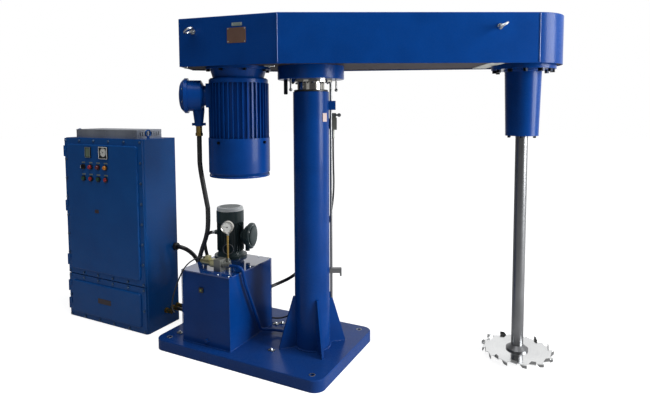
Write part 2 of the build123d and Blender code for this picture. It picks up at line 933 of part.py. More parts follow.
def loop_face(gap):
    """The area inside a loop that stands a gap off both pulleys."""
    r1 = motor_pulley_diameter / 2 + gap
    r2 = spindle_pulley_diameter / 2 + gap
    lean = math.asin((r2 - r1) / (spindle_x - motor_x))
    left = (motor_x - r1 * math.sin(lean), r1 * math.cos(lean))
    right = (spindle_x - r2 * math.sin(lean), r2 * math.cos(lean))
    far = Line(left, right) + ThreePointArc(right, (spindle_x + r2, 0), (right[0], -right[1]))
    near = Line((right[0], -right[1]), (left[0], -left[1]))
    return make_face(far + near + ThreePointArc((left[0], -left[1]), (motor_x - r1, 0), left))


def drive_belts():
    pitch = pulley_height / groove_count
    belts = []
    for i in range(groove_count):
        middle = pulley_bottom + (i + 0.5) * pitch
        low = middle - belt_width / 2
        belts.append(belt_loop(belt_gap, belt_gap + belt_thickness, low, low + belt_width))
    return group(belts, HEAD)


# Spindle side.
def spindle_housing():
    flange_low = plate_bottom - housing_flange_thickness
    neck_low = flange_low - housing_shoulder
    outline = [
        (housing_bore / 2, plate_bottom),
        (housing_flange_diameter / 2, plate_bottom),
        (housing_flange_diameter / 2, flange_low),
        (housing_top_diameter / 2 + 8, flange_low),
        (housing_top_diameter / 2, neck_low),
        (housing_bottom_diameter / 2, housing_bottom),
        (housing_bottom_diameter / 2, housing_bottom - housing_cap_thickness),
        (shaft_diameter / 2 + 3, housing_bottom - housing_cap_thickness),
        (shaft_diameter / 2 + 3, housing_bottom),
        (housing_bore / 2, housing_bottom),
    ]
    return HEAD * turned(outline, spindle_x)


def spindle_bearings():
    inner = shaft_diameter + 2 * bearing_running_clearance
    low = housing_bottom
    high = plate_top
    lower = tube(housing_bore, inner, low, low + spindle_bearing_height, spindle_x)
    upper = tube(housing_bore, inner, high - spindle_bearing_height, high, spindle_x)
    return group([lower, upper], HEAD)


def head_fasteners():
    """The stop pin under the collar and the bolts of the spindle side and the motor side."""
    flange_low = plate_bottom - housing_flange_thickness
    x = housing_flange_diameter / 2 - flange_bolt_inset
    bolts = around(hexagon_bolt(*flange_bolt, x, 0, flange_low), flange_bolt_count, 15.0, spindle_x)
    cap_low = housing_bottom - housing_cap_thickness
    x = housing_bottom_diameter / 2 - cap_bolt_inset
    bolts += around(hexagon_bolt(*cap_bolt, x, 0, cap_low), cap_bolt_count, 10.0, spindle_x)
    x = (adapter_flange_diameter + adapter_top_diameter) / 4
    low = plate_bottom - adapter_flange_thickness
    bolts += around(hexagon_bolt(*adapter_bolt, x, 0, low), adapter_bolt_count, 22.5, motor_x)
    x = motor_diameter / 2 + face_gap + cowl_wall
    side = Pos(x, 0, motor_body_bottom + cowl_screw_rise) * Rot(0, 90, 0)
    side *= Cylinder(cowl_screw_diameter / 2, cowl_screw_height, align=UP)
    bolts += around(side, cowl_screw_count, 62.0, motor_x)
    return group(bolts + [stop_pin()], HEAD)


def eye_bolt(ring, wire, shank):
    """A lifting eye with its foot at the origin, standing along +Z."""
    loop = Pos(0, 0, ring / 2 + shank) * Rot(90, 0, 0) * Torus((ring - wire) / 2, wire / 2)
    foot = Cylinder(wire * 0.8, shank + wire * 0.6, align=UP)
    flange = Cylinder(wire * 1.4, shank * 0.4, align=UP)
    return loop + foot + flange


def head_eyes():
    """Two eyes on the camera side of the beam and two opposite."""
    eyes = []
    tail_slant = math.degrees(math.atan2(kink_half_width - tail_half_width, kink_x - tail_x))
    front = kink_half_width - (eye_front_x - kink_x) * math.tan(nose_slant)
    rear = tail_half_width + (eye_rear_x - tail_x) * math.tan(math.radians(tail_slant))
    for side in (-1, 1):
        turn = Rot(0, 0, 90.0 - 90.0 * side) * Rot(-90, 0, 0)
        for x, y, lean in ((eye_front_x, front, -math.degrees(nose_slant)), (eye_rear_x, rear, tail_slant)):
            place = Pos(x, side * y, eye_level) * Rot(0, 0, side * lean) * turn * Rot(0, 0, eye_turn)
            eyes.append(place * eye_bolt(eye_ring, eye_wire, eye_shank))
    return group(eyes, HEAD)


def spindle_shaft():
    top = pulley_bottom + pulley_height + 8
    low = disc_height + disc_thickness
    hub = turned([
        (0, low),
        (hub_diameter / 2, low),
        (hub_diameter / 2, low + hub_rim),
        (shaft_diameter / 2 + 2, low + hub_height),
        (0, low + hub_height),
    ])
    shaft = cylinder(shaft_diameter, low + hub_height, top)
    return HEAD * Pos(spindle_x, 0, 0) * (hub + shaft)


def disc_point(index, fraction, inset=0.0):
    """A point on the saw-toothed rim, between the root and the tip of one tooth."""
    step = 360.0 / disc_tooth_count
    root = disc_diameter / 2 - tooth_step
    radius = root + tooth_step * fraction / tooth_lead - inset
    return polar(radius, step * (index + fraction))


def disperser_disc():
    outline = []
    for i in range(disc_tooth_count):
        outline.append(disc_point(i, 0.0))
        outline.append(disc_point(i, tooth_lead))
        x, y = disc_point(i, tooth_lead)
        angle = 360.0 / disc_tooth_count * (i + tooth_lead)
        outline.append(polar(disc_diameter / 2 - tooth_step, angle + 1.2))
    plate = extrude(Pos(0, 0, disc_height) * make_face(Polyline(*outline, close=True)), disc_thickness)
    for i in range(disc_tooth_count):
        plate += disc_tooth(i)
    return group([plate, disc_clamp()], HEAD * Pos(spindle_x, 0, 0))


def disc_tooth(index):
    """One rim tooth, bent up or down in turn, with a raked leading edge."""
    side = 1 if index % 2 == 0 else -1
    start = Vector(*disc_point(index, 0.06), disc_height + disc_thickness / 2)
    end = Vector(*disc_point(index, tooth_lead), disc_height + disc_thickness / 2)
    along = (end - start).normalized()
    length = (end - start).length
    plane = Plane(origin=start, x_dir=along, z_dir=along.cross(Vector(0, 0, 1)))
    tip = side * (disc_thickness / 2 + tooth_height)
    heel = side * (disc_thickness / 2 + tooth_height * 0.2)
    profile = Polyline((0, 0), (length, 0), (length, tip), (0.36 * length, tip), (0, heel), close=True)
    return extrude(plane * make_face(profile), -disc_thickness)


def disc_clamp():
    low = disc_height - clamp_height
    washer = cylinder(clamp_diameter, low, disc_height)
    return washer + hexagon_bolt(clamp_nut_across, clamp_nut_height, 0, 0, low)


# Limit rod and switch.
LIMIT = Pos(column_x, 0, 0) * Rot(0, 0, limit_angle)


def limit_rod():
    rod_top = ram_rest_top - ram_flange_thickness
    rod = cylinder(limit_rod_diameter, limit_rod_bottom, rod_top, limit_rod_radius)
    half = dog_width / 2
    dog_top = dog_bottom + dog_thickness
    arm = block((limit_rod_radius - dog_wall, -half, dog_bottom), (dog_reach, half, dog_top))
    hook = block((dog_reach - dog_wall, -half, dog_bottom - dog_hook), (dog_reach, half, dog_bottom))
    return LIMIT * (rod + arm + hook)


def rod_guide():
    """A welded block that guides the limit rod, and the bracket of the switch."""
    low = limit_guide_bottom
    high = low + limit_guide_height
    half = limit_guide_width / 2
    wall = column_diameter / 2
    body = block((wall - 20, -half, low), (limit_guide_reach, half, high))
    body -= cylinder(limit_rod_diameter + 2 * limit_guide_clearance, low, high, limit_rod_radius)
    back = switch_offset + switch_depth / 2
    bracket_top = switch_bottom + switch_height - 6
    bracket = block((60, back, switch_bottom + 6), (switch_radius + switch_width / 2, back + 6, bracket_top))
    tube_space = cylinder(column_diameter, switch_bottom, high)
    return group([body - tube_space, bracket - tube_space], LIMIT)


def limit_switch():
    x = switch_radius
    low = (x - switch_width / 2, switch_offset - switch_depth / 2, switch_bottom)
    high = (x + switch_width / 2, switch_offset + switch_depth / 2, switch_bottom + switch_height)
    turret_low = (x - turret_back, switch_offset - turret_width / 2, high[2])
    turret_high = (x + turret_front, switch_offset + turret_width / 2, lever_level + turret_front)
    bore = switch_axis() * Cylinder(lever_pin_diameter / 2 + lever_pin_clearance, 60)
    gland = cylinder(20, switch_bottom - switch_gland_length, switch_bottom, x - 6, switch_offset)
    return LIMIT * (block(low, high) + block(turret_low, turret_high) - bore + gland)


def switch_axis():
    """The lever's axis, level and square to the limit rod."""
    return Pos(switch_radius - lever_pivot_inset, switch_offset, lever_level) * Rot(90, 0, 0)


def limit_lever():
    pivot = switch_radius - lever_pivot_inset
    arm_back = switch_offset - turret_width / 2 - lever_side_gap
    arm_front = arm_back - lever_arm_thickness
    pin_back = switch_offset + turret_width / 2
    pin = Pos(pivot, pin_back, lever_level) * Rot(90, 0, 0)
    pin *= Cylinder(lever_pin_diameter / 2, pin_back - arm_front, align=UP)
    arm_low = (pivot - lever_heel, arm_front, lever_level - lever_arm_height / 2)
    arm = block(arm_low, (pivot + lever_length, arm_back, lever_level + lever_arm_height / 2))
    wheel = Pos(pivot + lever_length, arm_front, lever_level) * Rot(90, 0, 0)
    wheel *= Cylinder(lever_roller_diameter / 2, lever_roller_width, align=UP)
    axle = Pos(pivot + lever_length, arm_back, lever_level) * Rot(90, 0, 0)
    axle *= Cylinder(lever_axle_diameter / 2, lever_axle_length, align=UP)
    return LIMIT * (pin + arm + wheel + axle)


# Oil tank and power pack.
def oil_tank():
    shell = block((tank_left, tank_front, base_thickness), (tank_right, tank_back, lid_bottom))
    shell = fillet(shell.edges().filter_by(Axis.Z), 8)
    inside_low = (tank_left + tank_wall, tank_front + tank_wall, base_thickness + tank_wall)
    inside = block(inside_low, (tank_right - tank_wall, tank_back - tank_wall, lid_bottom))
    solid = shell - inside
    for x, z in ((level_plug_x, level_plug_z), (drain_plug_x, drain_plug_z)):
        solid -= Pos(x, tank_front, z) * Rot(-90, 0, 0) * Cylinder(plug_diameter / 4, tank_wall, align=UP)
    return solid


def tank_lid():
    edge = lid_overhang
    low = (tank_left - edge, tank_front - edge, lid_bottom)
    lid = block(low, (tank_right + edge, tank_back + edge, tank_top))
    lid = fillet(lid.edges().filter_by(Axis.Z), 8)
    return lid - cylinder(pump_body_diameter + 2 * face_gap, lid_bottom, tank_top, pump_motor_x, pump_motor_y)


def oil_pump():
    low = lid_bottom - pump_body_length
    body = cylinder(pump_body_diameter, low, tank_top, pump_motor_x, pump_motor_y)
    pickup_low = base_thickness + tank_wall + 12
    pickup = cylinder(40, pickup_low, low, pump_motor_x, pump_motor_y)
    strainer = cylinder(84, pickup_low, pickup_low + 70, pump_motor_x, pump_motor_y)
    return body + pickup + strainer


def pump_motor():
    """The pump's motor: flange, finned frame, fan cowl and a lifting ring on its front."""
    low = tank_top
    cowl_low = pump_motor_top - pump_motor_cowl_height
    neck_low = low + pump_flange_thickness
    neck_top = low + pump_neck_top
    flange = cylinder(pump_motor_flange, low, neck_low)
    neck_diameter = pump_motor_flange - 2 * pump_neck_inset
    neck = cone(neck_diameter, pump_motor_diameter - 2 * pump_barrel_inset, neck_low, neck_top)
    fin = (pump_fin_depth, pump_fin_thickness, pump_fin_count)
    barrel = finned_barrel(pump_motor_diameter, *fin, neck_top, cowl_low)
    radius = pump_motor_diameter / 2
    cowl = turned([
        (0, cowl_low),
        (radius + pump_cowl_lip, cowl_low),
        (radius + pump_cowl_lip, pump_motor_top - pump_cowl_shoulder),
        (radius - pump_cap_radius_step, pump_motor_top - pump_cap_bevel),
        (radius - pump_cap_radius_step - pump_cap_bevel, pump_motor_top),
        (0, pump_motor_top),
    ])
    ring_spot = Rot(0, 0, ring_angle) * Pos(radius - 6, 0, ring_height)
    boss = Rot(0, 90, 0) * Cylinder(9, 16, align=UP)
    ring = Pos(16, 0, -lifting_ring_diameter / 2 + lifting_ring_wire) * Rot(0, 90, 0)
    ring *= Torus((lifting_ring_diameter - lifting_ring_wire) / 2, lifting_ring_wire / 2)
    port = Rot(0, 0, pump_cable_angle) * Pos(radius - 14, 0, pump_cable_height) * Rot(0, 90, 0)
    port *= Cylinder(pump_cable_diameter / 2 + 5, pump_port_length + 14, align=UP)
    frame = flange + neck + barrel + cowl + ring_spot * (boss + ring) + port
    return Pos(pump_motor_x, pump_motor_y, 0) * frame


def pump_terminal_box():
    start = pump_motor_diameter / 2
    box = terminal_box(
        pump_box_height,
        start,
        pump_box_reach,
        pump_box_diameter,
        pump_cover_diameter,
        pump_cover_thickness,
        pump_neck_diameter,
    )
    x = start + pump_box_reach * pump_gland_share
    gland = cylinder(pump_gland_diameter, pump_box_height - pump_gland_drop, pump_box_height, x)
    saddle_diameter = pump_motor_diameter + 2 * face_gap
    half = pump_cover_diameter / 2
    saddle = cylinder(saddle_diameter, pump_box_height - half - face_gap, pump_box_height + half + face_gap)
    spin = Pos(pump_motor_x, pump_motor_y, 0) * Rot(0, 0, pump_box_angle)
    return spin * (box + gland - saddle)


def valve_block():
    """The manifold, its elbow blocks and the filler cap on the lid."""
    half_x = valve_block_length / 2
    half_y = valve_block_width / 2
    top = tank_top + valve_block_height
    low = (valve_block_x - half_x, valve_block_y - half_y, tank_top)
    body = block(low, (valve_block_x + half_x, valve_block_y + half_y, top))
    body = chamfer(body.edges().group_by(Axis.Z)[-1], valve_block_chamfer)
    side = Pos(valve_block_x + half_x, valve_block_y, tank_top + port_height) * Rot(0, 90, 0)
    elbow = side * Cylinder(elbow_diameter / 2, elbow_length, align=UP)
    nut = side * extrude(RegularPolygon(elbow_nut_radius, 6), elbow_nut_length)
    post = cylinder(gauge_post_diameter, tank_top, tank_top + gauge_post_height, gauge_x, gauge_y)
    half = gauge_link_width / 2
    link_low = (valve_block_x, gauge_y - half, tank_top + gauge_link_bottom)
    link = block(link_low, (gauge_x, gauge_y + half, tank_top + port_height))
    return body + elbow + nut + post + link


def solenoid_valve():
    left = valve_block_x - valve_block_length / 2
    z = tank_top + solenoid_height
    y = valve_block_y
    length, width, height = solenoid_body
    body = block((left - length, y - width / 2, z - height / 2), (left, y + width / 2, z + height / 2))
    body = chamfer(body.edges().filter_by(Axis.X), solenoid_chamfer)
    axis = Pos(left - length, y, z) * Rot(0, -90, 0)
    coil = axis * Cylinder(solenoid_diameter / 2, solenoid_length - solenoid_cap_length, align=UP)
    cap = axis * Cylinder(solenoid_diameter / 2 - solenoid_cap_step, solenoid_length, align=UP)
    right = left - length - solenoid_plug_inset
    length, width, height = solenoid_plug
    low = z + solenoid_plug_rise
    plug = block((right - length, y - width / 2, low), (right, y + width / 2, low + height))
    return body + coil + cap + plug


def pressure_gauge():
    low = tank_top + gauge_post_height
    foot = gauge_z - gauge_diameter / 2
    stem = cylinder(gauge_tube_diameter, low, foot + gauge_stem_overlap, gauge_x, gauge_y)
    nut = Pos(gauge_x, gauge_y, foot - gauge_nut_drop)
    nut *= extrude(RegularPolygon(gauge_nut_radius, 6), gauge_nut_length)
    turn = Pos(gauge_x, gauge_y, gauge_z) * Rot(0, 0, gauge_turn) * Rot(90, 0, 0)
    case = turn * Cylinder(gauge_diameter / 2, gauge_depth)
    recess = turn * Pos(0, 0, gauge_depth / 2 - gauge_recess)
    recess *= Cylinder(gauge_diameter / 2 - gauge_bezel, gauge_recess, align=UP)
    union = cylinder(gauge_union_diameter, low, low + gauge_union_height, gauge_x, gauge_y)
    return stem + nut + case - recess + union


def pressure_pipe():
    """The painted pipe from the manifold, over the tank's edge and down to the column's foot."""
    x = valve_block_x + valve_block_length / 2 + elbow_length
    z = tank_top + port_height
    out = tank_right + lid_overhang + pipe_stand_off
    floor = base_thickness + pressure_pipe_diameter / 2 + 8
    end = polar(column_diameter / 2 - 4, pipe_port_angle)
    aim = polar(column_diameter / 2 + 70, pipe_port_angle)
    points = [
        (x, valve_block_y, z),
        (out, valve_block_y, z),
        (out, valve_block_y + 40, z - 130),
        (out + 14, -60, floor + 34),
        (out + 90, 20, pipe_port_height),
        (column_x + aim[0], aim[1], pipe_port_height),
        (column_x + end[0], end[1], pipe_port_height),
    ]
    radii = [min(34.0, r) for r in route_radii(points)]
    path = FilletPolyline(*points, radius=radii)
    start = Plane(origin=points[0], z_dir=(1, 0, 0))
    return sweep(start * Circle(pressure_pipe_diameter / 2), path=path)


def brass_fittings():
    """Cable glands on the cabinet, the tank's plugs and the hose unions."""
    pieces = []
    size = cabinet_gland_diameter
    length = cabinet_gland_length
    for y, z in [(y, cabinet_gland_height) for y in cabinet_gland_y]:
        axis = Pos(cabinet_right, y, z) * Rot(0, 90, 0)
        nut = axis * extrude(RegularPolygon(size / 2, 6), 16)
        throat = axis * Cylinder(size * 0.38, length - 18, align=UP)
        cap = axis * Pos(0, 0, length - 20) * extrude(RegularPolygon(size * 0.44, 6), 20)
        pieces.append(nut + throat + cap)
    side = Pos(cabinet_right, side_cable_y, side_cable_height) * Rot(0, 90, 0)
    pieces.append(side * Cylinder(side_gland_diameter / 2, side_gland_length, align=UP))
    for x, z in ((level_plug_x, level_plug_z), (drain_plug_x, drain_plug_z)):
        axis = Pos(x, tank_front, z) * Rot(90, 0, 0)
        head = extrude(RegularPolygon(plug_diameter / 2, 6), plug_head_height)
        pieces.append(axis * (head + Cylinder(plug_washer_diameter / 2, plug_washer_thickness, align=UP)))
    pieces.append(Pos(hose_tank_x, tank_back, hose_tank_z) * Rot(-90, 0, 0) * union_fitting())
    foot = hose_port() * Pos(0, 0, -column_wall) * union_fitting(column_wall)
    pieces.append(foot - cylinder(column_diameter, hose_port_height - 60, hose_port_height + 60, column_x))
    return group(pieces)


def union_fitting(root=0.0):
    """A hose union standing along +Z, with a root that is cut to fit a round wall."""
    foot = extrude(RegularPolygon(return_hose_diameter * 0.75, 6), union_nut_length + root)
    return foot + Cylinder(return_hose_diameter * 0.62, hose_union_length + root, align=UP)


# Control cabinet.
def cabinet_shell():
    """The cabinet's body: a box open at the front, with a shelf, a front flange and two eyes."""
    outer = block((cabinet_left, cabinet_front, 0), (cabinet_right, cabinet_back, cabinet_height))
    outer = fillet(outer.edges().filter_by(Axis.Z), cabinet_edge_radius)
    sheet = cabinet_sheet
    flange = cabinet_flange
    shelf_low = cabinet_split - cabinet_shelf / 2
    spans = ((sheet, shelf_low), (shelf_low + cabinet_shelf, cabinet_height - sheet))
    solid = outer
    for low, high in spans:
        inner_low = (cabinet_left + sheet, cabinet_front + flange, low)
        solid -= block(inner_low, (cabinet_right - sheet, cabinet_back - sheet, high))
        mouth_low = (cabinet_left + flange, cabinet_front - 1, max(low, flange))
        mouth_high = (cabinet_right - flange, cabinet_front + flange + 1, min(high, cabinet_height - flange))
        solid -= block(mouth_low, mouth_high)
    eye = Rot(0, 0, 90) * eye_bolt(cabinet_eye_diameter, cabinet_eye_wire, cabinet_eye_shank)
    eyes = [Pos(x, cabinet_eye_y, cabinet_height) * eye for x in cabinet_eye_x]
    hinges = [hinge_barrel(z, False) for heights in door_hinges() for z in heights]
    return solid + eyes + hinges


def cabinet_devices():
    """The mounting plate with the drive, contactors and terminals on it."""
    back = cabinet_back - cabinet_sheet
    left = cabinet_left + device_plate_margin
    right = cabinet_right - device_plate_margin
    low = cabinet_split + device_plate_foot
    high = cabinet_height - device_plate_margin
    seat = back - device_stud_length - device_plate_thickness
    plate = block((left, seat, low), (right, back - device_stud_length, high))
    solid = plate
    half = device_stud_width / 2
    for x in (left + device_stud_inset, right - device_stud_inset):
        for z in (low + device_stud_inset, high - device_stud_inset):
            solid += block((x - half, back - device_stud_length, z - half), (x + half, back, z + half))
    width, depth, height = drive_size
    x = left + drive_inset
    solid += block((x, seat - depth, low + drive_rise), (x + width, seat, low + drive_rise + height))
    width, depth, height = contactor_size
    z = low + contactor_rise
    for i in range(contactor_count):
        x = left + contactor_inset + i * contactor_pitch
        solid += block((x, seat - depth, z), (x + width, seat, z + height))
    low = low + terminal_rail_rise
    rail_low = (left + drive_inset, seat - terminal_rail_depth, low)
    solid += block(rail_low, (right - drive_inset, seat, low + terminal_rail_height))
    return solid


def cabinet_top_box():
    low = (top_box_left, top_box_front, cabinet_height)
    high = (top_box_right, top_box_back, cabinet_height + top_box_height)
    sheet = top_box_sheet
    body = block(low, high) - block(
        (low[0] + sheet, low[1] + sheet, low[2]),
        (high[0] - sheet, high[1] - sheet, high[2] - sheet),
    )
    vents = []
    for i in range(top_box_vent_count):
        y = low[1] + 34 + i * (high[1] - low[1] - 68) / (top_box_vent_count - 1)
        vents.append(block((low[0] - 1, y - 4, low[2] + 18), (low[0] + sheet + 1, y + 4, high[2] - 16)))
        vents.append(block((high[0] - sheet - 1, y - 4, low[2] + 18), (high[0] + 1, y + 4, high[2] - 16)))
    return body - vents


def door_hinges():
    """The heights of the hinges on the lower and the upper door."""
    low = cabinet_split - door_seam / 2
    high = cabinet_split + door_seam / 2
    top = cabinet_height - door_margin
    edge = 1.2 * hinge_length
    return (edge, low - edge), (high + edge, (high + top) / 2, top - edge)


def hinge_barrel(z, upper):
    """Half of a hinge's barrel: the upper half turns with the door on the lower half's pin."""
    half = hinge_length / 2
    front = hinge_y - hinge_diameter / 2
    if upper:
        barrel = cylinder(hinge_diameter, z, z + half, hinge_x, hinge_y)
        leaf = block((hinge_x, front, z), (door_left + hinge_leaf_reach, door_front, z + half))
        bore = cylinder(hinge_pin_diameter + 2 * hinge_clearance, z, z + half, hinge_x, hinge_y)
        return barrel + leaf - bore
    top = z - face_gap
    barrel = cylinder(hinge_diameter, z - half, top, hinge_x, hinge_y)
    pin = cylinder(hinge_pin_diameter, top, z + half, hinge_x, hinge_y)
    outer = cabinet_left - hinge_leaf
    back = cabinet_front + hinge_leaf_reach + cabinet_edge_radius
    leaf = block((outer, hinge_y, z - half), (cabinet_left, back, top))
    return barrel + leaf + pin


def door(low, high, hinge_heights):
    """A cabinet door: a flat plate with a raised panel and its halves of the hinges."""
    plate = block((door_left, door_front, low), (door_right, cabinet_front - door_gap, high))
    width = door_right - door_left - 2 * door_panel_margin
    outline = RectangleRounded(width, high - low - 2 * door_panel_margin, door_panel_radius)
    middle = ((door_left + door_right) / 2, door_front, (low + high) / 2)
    panel = extrude(Plane(origin=middle, x_dir=(1, 0, 0), z_dir=(0, -1, 0)) * outline, door_panel_rise)
    panel = fillet(panel.faces().sort_by(Axis.Y)[0].outer_wire().edges(), door_panel_rise * 0.7)
    solid = plate + panel
    for z in hinge_heights:
        solid += hinge_barrel(z, True)
    return solid


def door_bolts(low, high, rows):
    """Hexagon heads round the rim of a door."""
    left = door_left + door_bolt_inset
    right = door_right - door_bolt_inset
    head = Rot(90, 0, 0) * extrude(RegularPolygon(door_bolt_across / 2, 6), door_bolt_height)
    spots = []
    for i in range(door_bolt_columns):
        x = left + (right - left) * i / (door_bolt_columns - 1)
        spots.append((x, low + door_bolt_inset))
        spots.append((x, high - door_bolt_inset))
    for i in range(1, rows):
        z = low + door_bolt_inset + (high - low - 2 * door_bolt_inset) * i / rows
        spots.append((left, z))
        spots.append((right, z))
    return [Pos(x, door_front, z) * head for x, z in spots]


def upper_door():
    low = cabinet_split + door_seam / 2
    high = cabinet_height - door_margin
    solid = door(low, high, door_hinges()[1])
    for bolt in door_bolts(low, high, 7):
        solid += bolt
    reach = door_thickness + door_panel_rise
    for x, z in button_spots():
        axis = Pos(x, panel_front, z) * Rot(90, 0, 0)
        solid += axis * Cylinder(button_bezel_diameter / 2, button_bezel_height, align=UP)
        bore = button_stem_diameter / 2 + button_clearance
        solid -= axis * Pos(0, 0, -reach) * Cylinder(bore, reach + button_bezel_height, align=UP)
        well = button_cap_diameter / 2 + button_clearance
        solid -= axis * Pos(0, 0, button_bezel_height - button_well) * Cylinder(well, button_well, align=UP)
    return solid


def lower_door():
    low = door_margin
    high = cabinet_split - door_seam / 2
    solid = door(low, high, door_hinges()[0])
    for bolt in door_bolts(low, high, 2):
        solid += bolt
    return solid


def button_spots():
    """The selector first, then the push buttons of the lower row."""
    selector = [(button_left, button_high_row)]
    return selector + [(button_left + i * button_pitch, button_low_row) for i in range(4)]


def push_button(index):
    x, z = button_spots()[index + 1]
    axis = Pos(x, panel_front - button_bezel_height, z) * Rot(90, 0, 0)
    seat = button_well - button_travel - button_clearance
    cap = axis * Pos(0, 0, -seat) * Cylinder(button_cap_diameter / 2, seat + button_cap_height - 6, align=UP)
    rim = cap.edges().filter_by(GeomType.CIRCLE).sort_by(Axis.Y)[0]
    stem_length = door_thickness + door_panel_rise + button_bezel_height
    stem = axis * Pos(0, 0, -stem_length) * Cylinder(button_stem_diameter / 2, stem_length, align=UP)
    return fillet(rim, 2.5) + stem


def selector_knob():
    x, z = button_spots()[0]
    axis = Pos(x, panel_front - button_bezel_height, z) * Rot(90, 0, 0)
    skirt = axis * Pos(0, 0, -button_well + 2 * button_clearance)
    skirt *= Cylinder(button_cap_diameter / 2, button_well, align=UP)
    grip_height = button_cap_diameter - 2 * grip_inset
    grip = axis * Pos(0, 0, -grip_overlap) * Box(grip_width, grip_height, grip_length, align=UP)
    stem_length = door_thickness + door_panel_rise + button_bezel_height
    stem = axis * Pos(0, 0, -stem_length) * Cylinder(button_stem_diameter / 2, stem_length, align=UP)
    return skirt + grip + stem


def door_instruments():
    """The meter, the display and the three pilot lamps on the upper door."""
    pieces = []
    depth = instrument_depth
    for x, width in ((meter_x, meter_size), (display_x, display_width)):
        half = width / 2
        tall = meter_size / 2 if width == meter_size else display_height / 2
        low = (x - half, panel_front - depth, instrument_height - tall)
        high = (x + half, panel_front, instrument_height + tall)
        frame = block(low, high)
        glass = block((low[0] + 7, low[1] - 1, low[2] + 7), (high[0] - 7, low[1] + 3, high[2] - 7))
        pieces.append(chamfer(frame.edges().group_by(Axis.Y)[0], 2) - glass)
    for i in range(1, 4):
        axis = Pos(button_left + i * button_pitch, panel_front, button_high_row) * Rot(90, 0, 0)
        lamp = axis * Cylinder(button_bezel_diameter / 2, button_bezel_height, align=UP)
        lens = axis * Cylinder(button_cap_diameter / 2, button_bezel_height + 12, align=UP)
        pieces.append(lamp + fillet(lens.edges().filter_by(GeomType.CIRCLE).sort_by(Axis.Y)[0], 5))
    return group(pieces)


# Cords.
def motor_cable_points():
    """The main motor's cable, from its gland to the junction with the part that hangs free."""
    x, y = polar(motor_diameter / 2 + gland_reach, terminal_box_angle)
    top = HEAD * Pos(motor_x + x, y, gland_bottom)
    x, y = top.position.X, top.position.Y
    return [(x, y, gland_bottom), (x, y, cable_junction)]


def motor_cable_upper():
    (x, y, high), (_, _, low) = motor_cable_points()
    return cylinder(motor_cable_diameter, low, high, x, y)


def motor_cable_lower():
    start = motor_cable_points()[1]
    first = led_out(start, (0, 0, -1), 2.5 * motor_cable_diameter)
    end = (cabinet_right + side_gland_length, side_cable_y, side_cable_height)
    last = led_out(end, (1, 0, 0), 1.8 * motor_cable_diameter)
    return cord("motor_cable_lower", [start, first] + motor_cable_route + [last, end], motor_cable_diameter)


def pump_cable():
    x, y = polar(pump_motor_diameter / 2 + pump_port_length, pump_cable_angle)
    start = (pump_motor_x + x, pump_motor_y + y, pump_cable_height)
    first = led_out(start, (*polar(1, pump_cable_angle), 0), 1.2 * pump_cable_diameter)
    end = (cabinet_right + cabinet_gland_length, cabinet_gland_y[1], cabinet_gland_height)
    last = led_out(end, (1, 0, 0), 1.5 * pump_cable_diameter)
    return cord("pump_cable", [start, first] + pump_cable_route + [last, end], pump_cable_diameter)


def solenoid_cable():
    left = valve_block_x - valve_block_length / 2
    out = left - solenoid_body[0] - solenoid_plug_inset - solenoid_plug[0]
    start = (out, valve_block_y, tank_top + solenoid_height + solenoid_plug_rise + solenoid_plug[2] / 2)
    first = led_out(start, (-1, 0, 0), 2.5 * solenoid_cable_diameter)
    end = (cabinet_right + cabinet_gland_length, cabinet_gland_y[0], cabinet_gland_height)
    last = led_out(end, (1, 0, 0), 3.0 * solenoid_cable_diameter)
    points = [start, first] + solenoid_cable_route + [last, end]
    return cord("solenoid_cable", points, solenoid_cable_diameter)


def limit_cable():
    place = LIMIT * Pos(switch_radius - 6, switch_offset, switch_bottom - switch_gland_length)
    start = tuple(place.position)
    first = led_out(start, (0, 0, -1), 5.0 * limit_cable_diameter)
    end = (cabinet_right + cabinet_gland_length, cabinet_gland_y[2], cabinet_gland_height)
    last = led_out(end, (1, 0, 0), 2.5 * limit_cable_diameter)
    return cord("limit_cable", [start, first] + limit_cable_route + [last, end], limit_cable_diameter)


def hose_port():
    """The place on the column of the hose's tilted union, with its axis along Z."""
    on_wall = Pos(column_x, 0, hose_port_height) * Rot(0, 0, hose_port_angle) * Pos(column_diameter / 2, 0, 0)
    return on_wall * Rot(0, 90 + hose_port_tilt, 0)


def return_hose():
    start = (hose_tank_x, tank_back + hose_union_length, hose_tank_z)
    first = led_out(start, (0, 1, 0), 1.85 * return_hose_diameter)
    end = tuple((hose_port() * Pos(0, 0, hose_union_length)).position)
    last = tuple((hose_port() * Pos(0, 0, hose_union_length + 1.9 * return_hose_diameter)).position)
    return cord("return_hose", [start, first] + return_hose_route + [last, end], return_hose_diameter)


